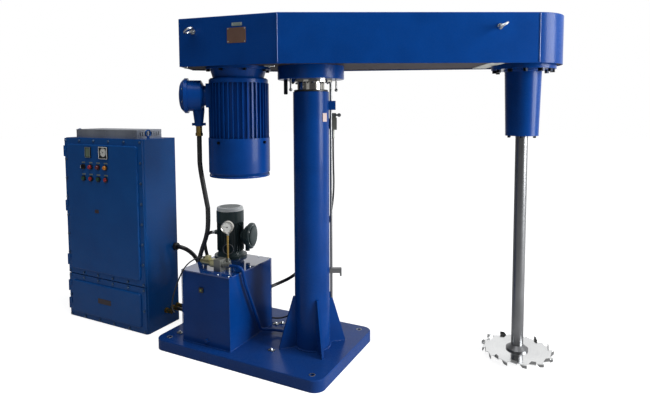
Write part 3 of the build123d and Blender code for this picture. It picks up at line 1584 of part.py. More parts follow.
def sub_parts():
    """Every node of the part with its solid."""
    nodes = {
        "base_plate": base_plate(),
        "column_tube": column_tube(),
        "column_gussets": column_gussets(),
        "guide_bushes": guide_bushes(),
        "lift_cylinder": lift_cylinder(),
        "lift_piston": lift_piston(),
        "ram": ram(),
        "swivel_bearing": swivel_bearing(),
        "head_cover": head_cover(),
        "head_plate": head_plate(),
        "head_collar": head_collar(),
        "head_fasteners": head_fasteners(),
        "head_eyes": head_eyes(),
        "motor_adapter": motor_adapter(),
        "motor_body": motor_body(),
        "motor_cowl": motor_cowl(),
        "motor_terminal_box": motor_terminal_box(),
        "motor_gland": motor_gland(),
        "motor_rotor": motor_rotor(),
        "motor_fan": motor_fan(),
        "motor_pulley": motor_pulley(),
        "drive_belts": drive_belts(),
        "spindle_pulley": spindle_pulley(),
        "spindle_housing": spindle_housing(),
        "spindle_bearings": spindle_bearings(),
        "spindle_shaft": spindle_shaft(),
        "disperser_disc": disperser_disc(),
        "limit_rod": limit_rod(),
        "rod_guide": rod_guide(),
        "limit_switch": limit_switch(),
        "limit_lever": limit_lever(),
        "oil_tank": oil_tank(),
        "tank_lid": tank_lid(),
        "oil_pump": oil_pump(),
        "pump_motor": pump_motor(),
        "pump_terminal_box": pump_terminal_box(),
        "valve_block": valve_block(),
        "solenoid_valve": solenoid_valve(),
        "pressure_gauge": pressure_gauge(),
        "pressure_pipe": pressure_pipe(),
        "brass_fittings": brass_fittings(),
        "cabinet_shell": cabinet_shell(),
        "cabinet_devices": cabinet_devices(),
        "cabinet_top_box": cabinet_top_box(),
        "upper_door": upper_door(),
        "lower_door": lower_door(),
        "selector_knob": selector_knob(),
        "door_instruments": door_instruments(),
        "motor_cable_upper": motor_cable_upper(),
        "motor_cable_lower": motor_cable_lower(),
        "pump_cable": pump_cable(),
        "solenoid_cable": solenoid_cable(),
        "limit_cable": limit_cable(),
        "return_hose": return_hose(),
    }
    for index, side in enumerate(("left", "right")):
        nodes[f"swivel_lock_{side}"] = swivel_lock(lock_angles[index])
    for index in range(4):
        nodes[f"push_button_{index + 1}"] = push_button(index)
    return nodes


os.makedirs("parts", exist_ok=True)
for node, shape in sub_parts().items():
    export_step(shape, f"parts/{node}.step")
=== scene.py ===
import logging
import math
from dataclasses import dataclass
from enum import Enum

import bpy
import numpy as np
from mathutils import Matrix, Vector


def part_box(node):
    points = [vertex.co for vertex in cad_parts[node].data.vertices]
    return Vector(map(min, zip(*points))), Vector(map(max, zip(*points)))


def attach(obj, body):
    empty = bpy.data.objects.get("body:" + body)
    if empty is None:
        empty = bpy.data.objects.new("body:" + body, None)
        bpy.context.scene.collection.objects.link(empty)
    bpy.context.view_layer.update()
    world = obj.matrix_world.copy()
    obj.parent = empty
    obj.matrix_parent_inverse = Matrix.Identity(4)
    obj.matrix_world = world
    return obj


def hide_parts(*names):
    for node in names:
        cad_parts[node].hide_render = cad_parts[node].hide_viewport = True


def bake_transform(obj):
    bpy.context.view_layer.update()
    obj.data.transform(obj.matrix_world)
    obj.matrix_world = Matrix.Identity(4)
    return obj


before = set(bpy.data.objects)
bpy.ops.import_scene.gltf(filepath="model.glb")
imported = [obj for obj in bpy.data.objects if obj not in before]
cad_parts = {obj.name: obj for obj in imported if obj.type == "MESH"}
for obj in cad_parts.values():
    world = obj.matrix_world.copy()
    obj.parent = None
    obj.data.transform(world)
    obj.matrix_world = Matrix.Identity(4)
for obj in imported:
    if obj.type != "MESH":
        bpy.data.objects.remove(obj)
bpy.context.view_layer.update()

log = logging.getLogger("disperser")
MM = 0.001
TAU = 2 * math.pi
COLUMN_X = 0.395
HEAD_ANGLE = math.radians(25.35)


def linear(colour: str) -> tuple[float, float, float, float]:
    """Turn a hex sRGB colour into linear RGBA.

    Args:
        colour: six hex digits after a hash.

    Returns:
        The linear colour with an alpha of 1.
    """
    parts = np.array([int(colour[i:i + 2], 16) for i in (1, 3, 5)]) / 255
    out = np.where(parts <= 0.04045, parts / 12.92, ((parts + 0.055) / 1.055) ** 2.4)
    return (*[float(v) for v in out], 1.0)


def add_node(tree, kind: str, settings=None, values=None, links=None):
    """Add a shader node.

    Args:
        tree: the node tree.
        kind: the node's type name.
        settings: attributes of the node.
        values: input name or index to value.
        links: input name or index to the socket that feeds it.

    Returns:
        The new node.
    """
    node = tree.nodes.new(kind)
    for key, value in (settings or {}).items():
        setattr(node, key, value)
    for key, value in (values or {}).items():
        node.inputs[key].default_value = value
    for key, socket in (links or {}).items():
        tree.links.new(socket, node.inputs[key])
    return node


class Grain(Enum):
    """How a surface was made, which sets the pattern drawn in its bump and roughness."""

    SPRAYED = "sprayed"
    CAST = "cast"
    TURNED = "turned"
    GROUND = "ground"
    ROLLED = "rolled"
    MOULDED = "moulded"


# Pattern pitch in metres and its stretch along X, Y and Z. Fine grain is drawn two to three times coarser
# than the real one, so that it still shows at the size of the picture.
GRAINS = {
    Grain.SPRAYED: (0.0035, (1.0, 1.0, 1.0)),
    Grain.CAST: (0.0025, (1.0, 1.0, 1.0)),
    Grain.TURNED: (0.0020, (0.05, 0.05, 1.0)),
    Grain.GROUND: (0.0015, (1.0, 1.0, 0.03)),
    Grain.ROLLED: (0.0020, (0.04, 0.04, 1.0)),
    Grain.MOULDED: (0.0012, (1.0, 1.0, 1.0)),
}


@dataclass(frozen=True)
class Finish:
    """A procedural finish in object coordinates, which are the row frame in metres.

    Attributes:
        name: what the finish is and how it was made.
        colour: its main colour.
        second: the colour that it drifts to in patches.
        grain: how it was made.
        metallic: 1 for bare metal, else 0.
        roughness: the mean roughness.
        spread: how far the roughness drifts either way.
        bump: height of the fine grain in metres.
        waves: height of the slow waves of thin sheet or of a sprayed film, in metres.
        coat: weight of a clear coat.
        specular: level of the reflection of paint and plastics, 0.5 being a plain one.
        dust: how much dust lies near the floor.
        rings: contrast of machining rings round an upright axis, about ring_axis.
        ring_axis: x and y of that axis.
        plate_level: height of the middle of the ringed plate, in metres; teeth away from it get painted shade.
    """

    name: str
    colour: str
    second: str
    grain: Grain
    metallic: float = 0.0
    roughness: float = 0.4
    spread: float = 0.06
    bump: float = 0.00002
    waves: float = 0.0
    coat: float = 0.0
    specular: float = 0.5
    dust: float = 0.0
    rings: float = 0.0
    ring_axis: tuple[float, float] = (0.0, 0.0)
    plate_level: float = 0.060

    def material(self) -> bpy.types.Material:
        """Build the material once and return it afterwards from the file's list."""
        known = bpy.data.materials.get(self.name)
        if known:
            return known
        mat = bpy.data.materials.new(self.name)
        mat.use_nodes = True
        tree = mat.node_tree
        shader = tree.nodes["Principled BSDF"]
        where = add_node(tree, "ShaderNodeTexCoord").outputs["Object"]
        pitch, stretch = GRAINS[self.grain]
        grain_at = add_node(tree, "ShaderNodeMapping", values={"Scale": stretch}, links={"Vector": where})
        fine = add_node(tree, "ShaderNodeTexNoise", values={"Scale": 1 / pitch, "Detail": 3.0},
                        links={"Vector": grain_at.outputs[0]})
        # Patches of about 0.2 m: how evenly the coat or the metal was worked.
        patch = add_node(tree, "ShaderNodeTexNoise", values={"Scale": 1 / 0.2, "Detail": 4.0},
                         links={"Vector": where})
        drift = add_node(tree, "ShaderNodeMapRange", values={"From Min": 0.35, "From Max": 0.7},
                         links={"Value": patch.outputs["Fac"]})
        tint = add_node(tree, "ShaderNodeMix", {"data_type": "RGBA"},
                        {6: linear(self.colour), 7: linear(self.second)}, {0: drift.outputs[0]})
        base = tint.outputs[2]
        rough_from = fine.outputs["Fac"]
        height = fine.outputs["Fac"]
        if self.rings:
            base = self._ringed_and_shaded(tree, where, base)
        if self.dust:
            base = self._dusted(tree, where, patch.outputs["Fac"], base)
        rough = add_node(tree, "ShaderNodeMapRange", values={
            "From Min": 0.3, "From Max": 0.7,
            "To Min": max(0.02, self.roughness - self.spread), "To Max": self.roughness + self.spread,
        }, links={"Value": rough_from})
        bump = add_node(tree, "ShaderNodeBump", values={"Strength": 1.0, "Distance": self.bump},
                        links={"Height": height})
        if self.waves:
            # Waves of about 0.12 m: thin sheet drawn in by its welds, or a film that sagged as it dried.
            slow = add_node(tree, "ShaderNodeTexNoise", values={"Scale": 1 / 0.12, "Detail": 1.0},
                            links={"Vector": where})
            bump = add_node(tree, "ShaderNodeBump", values={"Strength": 1.0, "Distance": self.waves},
                            links={"Height": slow.outputs["Fac"], "Normal": bump.outputs[0]})
        shader.inputs["Metallic"].default_value = self.metallic
        shader.inputs["Coat Weight"].default_value = self.coat
        shader.inputs["Coat Roughness"].default_value = 0.04
        if not self.metallic:
            shader.inputs["Specular IOR Level"].default_value = self.specular
        tree.links.new(base, shader.inputs["Base Color"])
        tree.links.new(rough.outputs[0], shader.inputs["Roughness"])
        tree.links.new(bump.outputs[0], shader.inputs["Normal"])
        return mat

    def _ringed_and_shaded(self, tree, where, base):
        """Darken the base colour in fine rings, and paint shade onto the teeth where they stand out of the plate's own
        thickness.

        The darkening of the bent teeth is a painted dark reflection of the dim room round them.
        """
        moved = add_node(tree, "ShaderNodeVectorMath", {"operation": "SUBTRACT"},
                         {1: (*self.ring_axis, 0.0)}, {0: where})
        flat = add_node(tree, "ShaderNodeVectorMath", {"operation": "MULTIPLY"}, {1: (1.0, 1.0, 0.0)},
                        {0: moved.outputs[0]})
        away = add_node(tree, "ShaderNodeVectorMath", {"operation": "LENGTH"}, links={0: flat.outputs[0]})
        band = add_node(tree, "ShaderNodeTexNoise", {"noise_dimensions": "1D"},
                        {"Scale": 1 / 0.004, "Detail": 2.0}, {"W": away.outputs["Value"]})
        shade = add_node(tree, "ShaderNodeMapRange",
                         values={"From Min": 0.3, "From Max": 0.7, "To Min": 1 - self.rings, "To Max": 1.0},
                         links={"Value": band.outputs["Fac"]})
        split = add_node(tree, "ShaderNodeSeparateXYZ", links={0: where})
        off = add_node(tree, "ShaderNodeMath", {"operation": "SUBTRACT"}, {1: self.plate_level}, {0: split.outputs[2]})
        tall = add_node(tree, "ShaderNodeMath", {"operation": "ABSOLUTE"}, links={0: off.outputs[0]})
        # Painted dark reflection: the teeth outside the plate's thickness are darkened to 0.30 of their colour.
        painted_tooth_shade = add_node(tree, "ShaderNodeMapRange",
                        values={"From Min": 0.0022, "From Max": 0.0060, "To Min": 1.0, "To Max": 0.30},
                        links={"Value": tall.outputs[0]})
        both = add_node(tree, "ShaderNodeMath", {"operation": "MULTIPLY"},
                        links={0: shade.outputs[0], 1: painted_tooth_shade.outputs[0]})
        mixed = add_node(tree, "ShaderNodeMix", {"data_type": "RGBA", "blend_type": "MULTIPLY"}, {0: 1.0},
                         {6: base, 7: both.outputs[0]})
        return mixed.outputs[2]

    def _dusted(self, tree, where, patch, base):
        """Lay a little grey dust over the lowest quarter metre, in patches."""
        split = add_node(tree, "ShaderNodeSeparateXYZ", links={0: where})
        low = add_node(tree, "ShaderNodeMapRange",
                       values={"From Min": 0.25, "From Max": 0.0, "To Max": self.dust},
                       links={"Value": split.outputs[2]})
        share = add_node(tree, "ShaderNodeMath", {"operation": "MULTIPLY"},
                         links={0: low.outputs[0], 1: patch})
        mixed = add_node(tree, "ShaderNodeMix", {"data_type": "RGBA"}, {7: linear("#8E8A80")},
                         {0: share.outputs[0], 6: base})
        return mixed.outputs[2]


# Glossy machine enamel on plate: even colour, faint orange peel and long waves that bend reflections.
ENAMEL = Finish("sprayed_royal_enamel", "#053B82", "#043577", Grain.SPRAYED, roughness=0.27, spread=0.05,
                bump=0.000012, waves=0.0006, coat=0.05, specular=0.11, dust=0.06)
# The same enamel where it pooled on the tank's lid: a wet film that mirrors the room at a low angle.
POOLED_ENAMEL = Finish("pooled_royal_enamel", "#063F8A", "#053980", Grain.SPRAYED, roughness=0.10, spread=0.03,
                       bump=0.000004, waves=0.0003, coat=1.0, specular=0.5)
# The same enamel on a rough casting: a duller blue with a visible skin.
CAST_ENAMEL = Finish("sprayed_cast_enamel", "#063D86", "#053577", Grain.CAST, roughness=0.30,
                     bump=0.00006, coat=0.06, specular=0.10)
# Enamel on thin folded sheet: flatter and a little dusty, with slow dents; its colour is lifted above the other enamels
# as painted light for the cabinet's lit side.
SHEET_ENAMEL = Finish("sprayed_sheet_enamel_painted_light", "#12549C", "#104E94", Grain.SPRAYED, roughness=0.26,
                      bump=0.00001, waves=0.0007, coat=0.14, specular=0.10, dust=0.08)
# Hard chrome ground along its length: clean bright bands with hardly a scratch.
CHROME = Finish("ground_hard_chrome", "#BCBAB4", "#ACAAA4", Grain.GROUND, 1.0, 0.10, 0.04, 0.000002)
# Turned and ground steel: fine bands round the axis.
SHAFT_STEEL = Finish("turned_shaft_steel", "#7E7F81", "#717274", Grain.TURNED, 1.0, 0.33, 0.04, 0.0000005)
# Plain machined steel, dulled by oil.
STEEL = Finish("machined_steel", "#8F9396", "#7C8083", Grain.TURNED, 1.0, 0.36, 0.08, 0.00001)
# Rolled stainless sheet, polished: bright, with rings from the polishing wheel and painted shade on the bent teeth.
STAINLESS = Finish("polished_stainless", "#EDEEEE", "#DFE0E1", Grain.ROLLED, 1.0, 0.16, 0.06, 0.000004,
                   rings=0.12, ring_axis=(COLUMN_X + 1.425 * math.cos(HEAD_ANGLE), 1.425 * math.sin(HEAD_ANGLE)))
# Bright zinc plating on bolts: pale and slightly milky.
ZINC = Finish("plated_bright_zinc", "#C9CCCE", "#AEB2B6", Grain.CAST, 1.0, 0.28, 0.08, 0.00002)
# Yellow zinc plating: pale brass with greenish patches.
YELLOW_ZINC = Finish("plated_yellow_zinc", "#D2CBA0", "#B4B184", Grain.CAST, 1.0, 0.32, 0.08, 0.00002)
# Turned brass of glands and unions.
BRASS = Finish("turned_brass", "#B89A56", "#9C8146", Grain.TURNED, 1.0, 0.28, 0.08, 0.000008)
# Sand-cast bronze of the guide bushes.
BRONZE = Finish("cast_bronze", "#9A7440", "#84602F", Grain.CAST, 1.0, 0.38, 0.08, 0.00003)
# Dull grey-green motor paint on a casting, with a rough skin.
PUMP_PAINT = Finish("sprayed_grey_green", "#344648", "#2B3A3D", Grain.CAST, roughness=0.36, bump=0.00006,
                    coat=0.1, specular=0.2)
# Pale grey paint of the pump motor's fan cap.
CAP_PAINT = Finish("sprayed_pale_cap", "#E8ECEC", "#D6DADA", Grain.SPRAYED, roughness=0.35, bump=0.00002)
# Galvanised sheet: mottled grey spangle.
GALVANISED = Finish("galvanised_sheet", "#A4A8B0", "#858A93", Grain.CAST, 0.5, 0.46, 0.12, 0.00002)
# Die-cast grey of the switch and the valve block.
DIE_CAST = Finish("die_cast_grey", "#8A8C88", "#767873", Grain.CAST, 1.0, 0.45, 0.08, 0.00004)
# Extruded rubber sheath: near black, a soft sheen and a very fine skin.
RUBBER = Finish("extruded_rubber", "#141518", "#1C1D20", Grain.MOULDED, roughness=0.38, spread=0.08,
                bump=0.00003)
# Dull brownish primer on the plate under the beam; its dark colour is partly painted shade, where the beam shades its
# own underside.
PRIMER_AND_SHADE = Finish("brushed_primer_and_painted_shade", "#463E43", "#3A3338", Grain.CAST, roughness=0.6, bump=0.00003, specular=0.06)
# Moulded cream polymer of the pad beside the spindle's flange.
CREAM = Finish("moulded_cream", "#E8E8DC", "#DCDCCE", Grain.MOULDED, roughness=0.5, bump=0.00001)
# Bolt heads passivated and half painted over: a muted blue grey that only glints.
DULL_BOLT = Finish("overpainted_bolt_steel", "#49668A", "#34547C", Grain.CAST, 0.5, 0.34, 0.08, 0.00002)
# Moulded plastics with a fine spark-eroded skin.
BLACK_PLASTIC = Finish("moulded_black", "#15171A", "#1B1D20", Grain.MOULDED, roughness=0.4, bump=0.00002)
GREY_PLASTIC = Finish("moulded_grey", "#6E7376", "#63686B", Grain.MOULDED, roughness=0.45, bump=0.00002)
RED_PLASTIC = Finish("moulded_red", "#B01C22", "#98151B", Grain.MOULDED, roughness=0.3, bump=0.00001, coat=0.3)
DARK_RED = Finish("moulded_dark_red", "#6E1A1E", "#5C1418", Grain.MOULDED, roughness=0.25, bump=0.00001, coat=0.4)
AMBER = Finish("moulded_amber", "#E08A1C", "#C97812", Grain.MOULDED, roughness=0.25, bump=0.00001, coat=0.4)
GREEN_PLASTIC = Finish("moulded_green", "#0F4A30", "#0B3B26", Grain.MOULDED, roughness=0.3, bump=0.00001, coat=0.3)
# Foil label on the column, faded to a warm grey.
LABEL = Finish("faded_foil_label", "#C8B6B2", "#BDA8A4", Grain.MOULDED, roughness=0.5, bump=0.000003)
# Blued steel of the head's bolts: nearly black with a soft shine.
BLACK_STEEL = Finish("blued_steel", "#20242C", "#181B22", Grain.CAST, 1.0, 0.34, 0.06, 0.00002)
# Screen-printed dial sheet: matt white.
DIAL_WHITE = Finish("printed_dial_white", "#EDEDE8", "#E4E4DE", Grain.MOULDED, roughness=0.55, bump=0.000003)
# Tinted display window: greenish grey and glossy.
DISPLAY = Finish("tinted_display_window", "#6F7F68", "#5E6E5A", Grain.MOULDED, roughness=0.12, bump=0.000002,
                 coat=0.6)
# Anodised plate, coppery brown and satin.
COPPER_PLATE = Finish("anodised_copper_plate", "#6A4E40", "#5A4238", Grain.ROLLED, roughness=0.42, bump=0.00001)
# The same plate in a darker colour, on the cabinet's doors.
DARK_PLATE = Finish("darker_door_plate", "#3A2C34", "#30262E", Grain.ROLLED, roughness=0.45, bump=0.00001)
# Anodised plate in a dull grey-green.
GREY_PLATE = Finish("anodised_grey_plate", "#7E8A86", "#6C7774", Grain.ROLLED, roughness=0.4, bump=0.00001)
# Oil seen in the level glass.
OIL_GLASS = Finish("oil_in_glass", "#8A8A1E", "#6E7016", Grain.MOULDED, roughness=0.08, bump=0.000002, coat=1.0)

# Finish and slot of each CAD node.
NODE_FINISHES = {
    ENAMEL: ("blue_paint", "base_plate column_tube column_gussets oil_tank head_cover "
             "head_collar rod_guide spindle_housing pressure_pipe"),
    POOLED_ENAMEL: ("blue_paint", "tank_lid"),
    PRIMER_AND_SHADE: ("grey_steel", "head_plate"),
    CAST_ENAMEL: ("blue_paint", "motor_adapter motor_body motor_cowl motor_terminal_box"),
    SHEET_ENAMEL: ("blue_paint", "cabinet_shell upper_door lower_door"),
    CHROME: ("hard_chrome", "ram lift_piston"),
    SHAFT_STEEL: ("bright_steel", "spindle_shaft limit_rod swivel_lock_left swivel_lock_right"),
    STEEL: ("grey_steel", "lift_cylinder swivel_bearing motor_rotor spindle_bearings oil_pump limit_lever "
            "motor_pulley spindle_pulley"),
    STAINLESS: ("stainless", "disperser_disc"),
    ZINC: ("bright_steel", "head_eyes"),
    BLACK_STEEL: ("black_steel", "head_fasteners"),
    YELLOW_ZINC: ("zinc_yellow", "solenoid_valve"),
    BRASS: ("brass", "brass_fittings motor_gland"),
    BRONZE: ("bronze", "guide_bushes"),
    PUMP_PAINT: ("motor_green", "pump_motor pump_terminal_box"),
    GALVANISED: ("grey_steel", "cabinet_top_box"),
    DIE_CAST: ("cast_grey", "limit_switch valve_block pressure_gauge"),
    GREY_PLASTIC: ("grey_plastic", "cabinet_devices motor_fan"),
    BLACK_PLASTIC: ("instrument_black", "door_instruments selector_knob"),
    RUBBER: ("belt_rubber", "drive_belts"),
}
BUTTON_FINISHES = {"push_button_1": GREEN_PLASTIC, "push_button_2": RED_PLASTIC,
                   "push_button_3": GREEN_PLASTIC, "push_button_4": RED_PLASTIC}


def dress_nodes() -> None:
    """Give every CAD node its finish."""
    table = {node: finish for finish, (_, names) in NODE_FINISHES.items() for node in names.split()}
    for node, finish in {**table, **BUTTON_FINISHES}.items():
        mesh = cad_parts[node].data
        mesh.materials.clear()
        mesh.materials.append(finish.material())


@dataclass
class Surface:
    """Points and quads of a mesh, held as whole arrays."""

    points: np.ndarray
    quads: np.ndarray

    def __add__(self, other: "Surface") -> "Surface":
        """Join two surfaces into one."""
        return Surface(np.vstack((self.points, other.points)),
                       np.vstack((self.quads, other.quads + len(self.points))))

    def placed(self, place: np.ndarray) -> "Surface":
        """Move the surface by a 4x4 place."""
        return Surface(self.points @ place[:3, :3].T + place[:3, 3], self.quads)

    def piece(self, name: str, finish: Finish, body: str, slot: str, smooth: bool = True) -> bpy.types.Object:
        """Put the surface into the scene as a piece that rides on a body.

        Args:
            name: the piece's name.
            finish: its finish.
            body: the CAD body that it rides on.
            slot: the record's material slot; not used.
            smooth: whether its faces are shaded smooth.

        Returns:
            The new object.
        """
        mesh = bpy.data.meshes.new(name)
        mesh.from_pydata(self.points.tolist(), [], self.quads.tolist())
        mesh.polygons.foreach_set("use_smooth", np.full(len(self.quads), smooth))
        if smooth:
            mesh.set_sharp_from_angle(angle=math.radians(38))
        mesh.materials.append(finish.material())
        mesh.update()
        made = bpy.data.objects.new(name, mesh)
        bpy.context.collection.objects.link(made)
        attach(made, body)
        return made


def grid(points: np.ndarray, closed: bool = True) -> Surface:
    """Quads over a grid of points, rows by columns, the columns closed into a ring where asked."""
    rows, columns = points.shape[:2]
    steps = columns if closed else columns - 1
    i, j = np.meshgrid(np.arange(rows - 1), np.arange(steps), indexing="ij")
    k = (j + 1) % columns
    quads = np.stack([i * columns + j, i * columns + k, (i + 1) * columns + k, (i + 1) * columns + j], -1)
    return Surface(points.reshape(-1, 3), quads.reshape(-1, 4))


def frame_at(origin, normal, up=(0.0, 0.0, 1.0)) -> np.ndarray:
    """A 4x4 place at origin with its third axis along normal and its second as near to up as it can be."""
    w = np.array(normal, float) / np.linalg.norm(normal)
    u = np.cross(np.array(up, float), w)
    u /= np.linalg.norm(u)
    place = np.eye(4)
    place[:3, :3] = np.stack([u, np.cross(w, u), w], 1)
    place[:3, 3] = origin
    return place


def lathe(profile, turns: int = 48) -> Surface:
    """Turn (radius, height) pairs round the third axis: x = r cos t, y = r sin t, z = h."""
    r, h = np.array(profile, float).T
    t = np.linspace(0, TAU, turns, endpoint=False)
    return grid(np.stack([np.outer(r, np.cos(t)), np.outer(r, np.sin(t)), np.outer(h, np.ones(turns))], -1))


def slab(width: float, height: float, depth: float, corner: float, edge: float = 0.0004,
         steps: int = 6) -> Surface:
    """A flat plate with rounded corners and a rounded rim, standing on its place from 0 to depth.

    The outline is four quarter circles of radius corner. The rings run from the back up to the rim,
    round it by a quarter circle of radius edge, and shrink to the middle of the front face.
    """
    t = np.linspace(0, TAU, 4 * steps, endpoint=False) + TAU / (8 * steps)
    cx = np.sign(np.cos(t)) * (width / 2 - corner)
    cy = np.sign(np.sin(t)) * (height / 2 - corner)
    turn = np.linspace(0, TAU / 4, 4)
    inset = np.concatenate([[0.0], edge * (1 - np.cos(turn)), [min(corner, width / 2, height / 2) * 0.999]])
    level = np.concatenate([[0.0], depth - edge + edge * np.sin(turn), [depth]])
    r = corner - inset
    x = cx + np.outer(r, np.cos(t))
    y = cy + np.outer(r, np.sin(t))
    z = np.repeat(level[:, None], len(t), 1)
    middle = np.stack([np.zeros(len(t)), np.zeros(len(t)), np.full(len(t), depth)], -1)[None]
    return grid(np.concatenate([np.stack([x, y, z], -1), middle]))


def bead(path: np.ndarray, radius: float, normal, ripple: float = 0.18, pitch: float = 0.006,
         sides: int = 10) -> Surface:
    """A weld or sealing bead along a flat path: a circle swept along it, its radius rising and falling once
    per pitch as the laid drops do, p + r (cos t n + sin t b), with n the given normal of the path's plane."""
    path = np.array(path, float)
    lengths = np.concatenate([[0], np.cumsum(np.linalg.norm(np.diff(path, axis=0), axis=1))])
    count = int(min(1200, max(8, lengths[-1] / (pitch / 5))))
    s = np.linspace(0, lengths[-1], count)
    line = np.stack([np.interp(s, lengths, path[:, k]) for k in range(3)], -1)
    tangent = np.gradient(line, axis=0)
    tangent /= np.linalg.norm(tangent, axis=1)[:, None]
    n = np.broadcast_to(np.array(normal, float) / np.linalg.norm(normal), line.shape)
    b = np.cross(tangent, n)
    t = np.linspace(0, TAU, sides, endpoint=False)
    r = radius * (1 + ripple * (np.abs(np.sin(math.pi * s / pitch)) - 0.6))
    r = r * np.where((np.arange(count) == 0) | (np.arange(count) == count - 1), 0.05, 1.0)
    ring = np.cos(t)[None, :, None] * n[:, None] + np.sin(t)[None, :, None] * b[:, None]
    return grid(line[:, None] + r[:, None, None] * ring)


def arc(centre, radius: float, start: float, end: float, z: float, count: int = 80) -> np.ndarray:
    """Points of a level arc about centre, angles in degrees."""
    t = np.radians(np.linspace(start, end, count))
    return np.stack([centre[0] + radius * np.cos(t), centre[1] + radius * np.sin(t), np.full(count, z)], -1)


def hexagon(across: float, height: float, place: np.ndarray) -> Surface:
    """A hexagon head with a chamfered rim and a washer face under it, across flats in metres."""
    r = across / math.sqrt(3)
    head = lathe([(r, 0.0), (r, height * 0.82), (r * 0.86, height), (1e-6, height)], 6)
    washer = lathe([(r * 1.16, 0.0), (r * 1.16, 0.0012), (r * 0.9, 0.0013)], 28)
    return (head + washer).placed(place)


def screw(radius: float, place: np.ndarray) -> Surface:
    """A pan-head screw with a cross-cut dimple."""
    return lathe([(radius, 0.0), (radius * 0.96, radius * 0.3), (radius * 0.7, radius * 0.52),
                  (radius * 0.32, radius * 0.6), (radius * 0.2, radius * 0.3), (1e-6, radius * 0.3)], 20).placed(place)


def merge(parts: list[Surface]) -> Surface:
    """Join a list of surfaces into one."""
    whole = parts[0]
    for part in parts[1:]:
        whole = whole + part
    return whole


def head_point(x: float, y: float, z: float) -> np.ndarray:
    """A point of the head's own frame in the row frame."""
    c, s = math.cos(HEAD_ANGLE), math.sin(HEAD_ANGLE)
    return np.array([COLUMN_X + x * c - y * s, x * s + y * c, z])


def head_direction(x: float, y: float, z: float = 0.0) -> np.ndarray:
    """A direction of the head's own frame in the row frame."""
    return head_point(x, y, z) - head_point(0.0, 0.0, 0.0)


@dataclass
class Beam:
    """Seams, plates and rivets of the head beam."""

    bottom: float = 2.016
    top: float = 2.326
    nose_radius: float = 0.240
    spindle_x: float = 1.425
    kink: tuple[float, float] = (-0.188, 0.344)
    tail: tuple[float, float] = (-0.858, 0.146)
    seam_radius: float = 0.0022
    corner_radius: float = 0.0042
    plate_size: tuple[float, float] = (0.133, 0.096)
    small_plate: tuple[float, float] = (0.073, 0.022)

    def tangent(self) -> tuple[float, float, float]:
        """Where the nose's arc meets the side, and the angle of its radius there."""
        dx, dy = self.spindle_x - self.kink[0], self.kink[1]
        slant = math.atan2(dy, dx) - math.asin(self.nose_radius / math.hypot(dx, dy))
        angle = math.pi / 2 - slant
        return (self.spindle_x + self.nose_radius * math.cos(angle), self.nose_radius * math.sin(angle), angle)

    def outline(self, side: int, grow: float) -> np.ndarray:
        """One long side of the beam seen from above, from the tail's corner to the middle of the nose."""
        _, _, angle = self.tangent()
        t = np.linspace(angle, 0.0, 40)
        nose = np.stack([self.spindle_x + (self.nose_radius + grow) * np.cos(t),
                         (self.nose_radius + grow) * np.sin(t)], -1)
        corners = np.array([(self.tail[0], self.tail[1] + grow), (self.kink[0], self.kink[1] + grow)])
        flat = np.vstack([corners, nose]) * (1, side)
        c, s = math.cos(HEAD_ANGLE), math.sin(HEAD_ANGLE)
        return np.stack([COLUMN_X + flat[:, 0] * c - flat[:, 1] * s, flat[:, 0] * s + flat[:, 1] * c], -1)

    def build(self) -> None:
        """Weld seams along the lower edge, and down the kinks and the nose, where they catch the light."""
        x, y, angle = self.tangent()
        seams, corners = [], []
        for side in (-1, 1):
            for px, py, nx, ny in ((x, y, math.cos(angle), math.sin(angle)), (*self.kink, 0.12, 0.99)):
                at = head_point(px, side * py, 0.0)
                low, high = at + (0, 0, self.bottom + 0.004), at + (0, 0, self.top - 0.004)
                corners.append(bead(np.stack([low, high]), self.corner_radius, head_direction(nx, side * ny), 0.2))
            edge = self.outline(side, -0.0026)
            line = np.column_stack([edge, np.full(len(edge), self.bottom - 0.0004)])
            seams.append(bead(line, self.seam_radius, (0, 0, 1), 0.25, 0.009))
        merge(seams).piece("beam_weld_seams", ENAMEL, "head", "blue_paint")
        merge(corners).piece("beam_corner_seams", POOLED_ENAMEL, "head", "blue_paint")
        self.plates()
        self.brackets()

    def brackets(self) -> None:
        """The small bright bracket beside the motor's adapter and the pointed tab under the tail."""
        for name, x, y, size in (("beam_small_bracket", -0.262, -0.150, (0.070, 0.036)),
                                 ("beam_tail_tab", -0.826, -0.120, (0.030, 0.016))):
            place = frame_at(head_point(x, y, self.bottom + 0.003), (0, 0, -1), head_direction(0, 1))
            foot = slab(*size, 0.007, 0.004).placed(place)
            bolt = hexagon(0.013, 0.007, frame_at(head_point(x, y, self.bottom - 0.004), (0, 0, -1),
                                                  head_direction(0, 1)))
            (foot + bolt).piece(name, ZINC, "head", "bright_steel")
        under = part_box("head_plate")[0].z
        place = frame_at(head_point(1.186, -0.010, under + 0.0005), (0, 0, -1), head_direction(0, 1))
        slab(0.096, 0.420, 0.0055, 0.008).placed(place).piece("beam_pale_pad", CREAM, "head", "grey_plastic")

    def plates(self) -> None:
        """The blank coppery plate and the small grey one above it, on the slanted face of the tail."""
        along = np.array([self.kink[0] - self.tail[0], -(self.kink[1] - self.tail[1])])
        span = float(np.linalg.norm(along))
        normal = head_direction(-(self.kink[1] - self.tail[1]) / span, -along[0] / span)
        start = head_point(self.tail[0], -self.tail[1], 0.0)
        run = head_direction(along[0] / span, along[1] / span)
        for name, share, z, size, finish in (
            ("beam_copper_plate", 0.603, 2.200, self.plate_size, COPPER_PLATE),
            ("beam_grey_plate", 0.609, 2.268, self.small_plate, GREY_PLATE),
        ):
            centre = start + run * span * share + (0, 0, z)
            place = frame_at(centre, normal)
            slab(*size, 0.0016, 0.004).placed(place).piece(name, finish, "head", "bronze", True)
            spots = [centre + run * (i * (size[0] / 2 - 0.008)) + (0, 0, k * (size[1] / 2 - 0.008))
                     for i in (-1, 1) for k in ((-1, 1) if size[1] > 0.05 else (0,))]
            merge([screw(0.0035, frame_at(p + normal * 0.0015, normal)) for p in spots]).piece(
                name + "_rivets", ZINC, "head", "bright_steel")


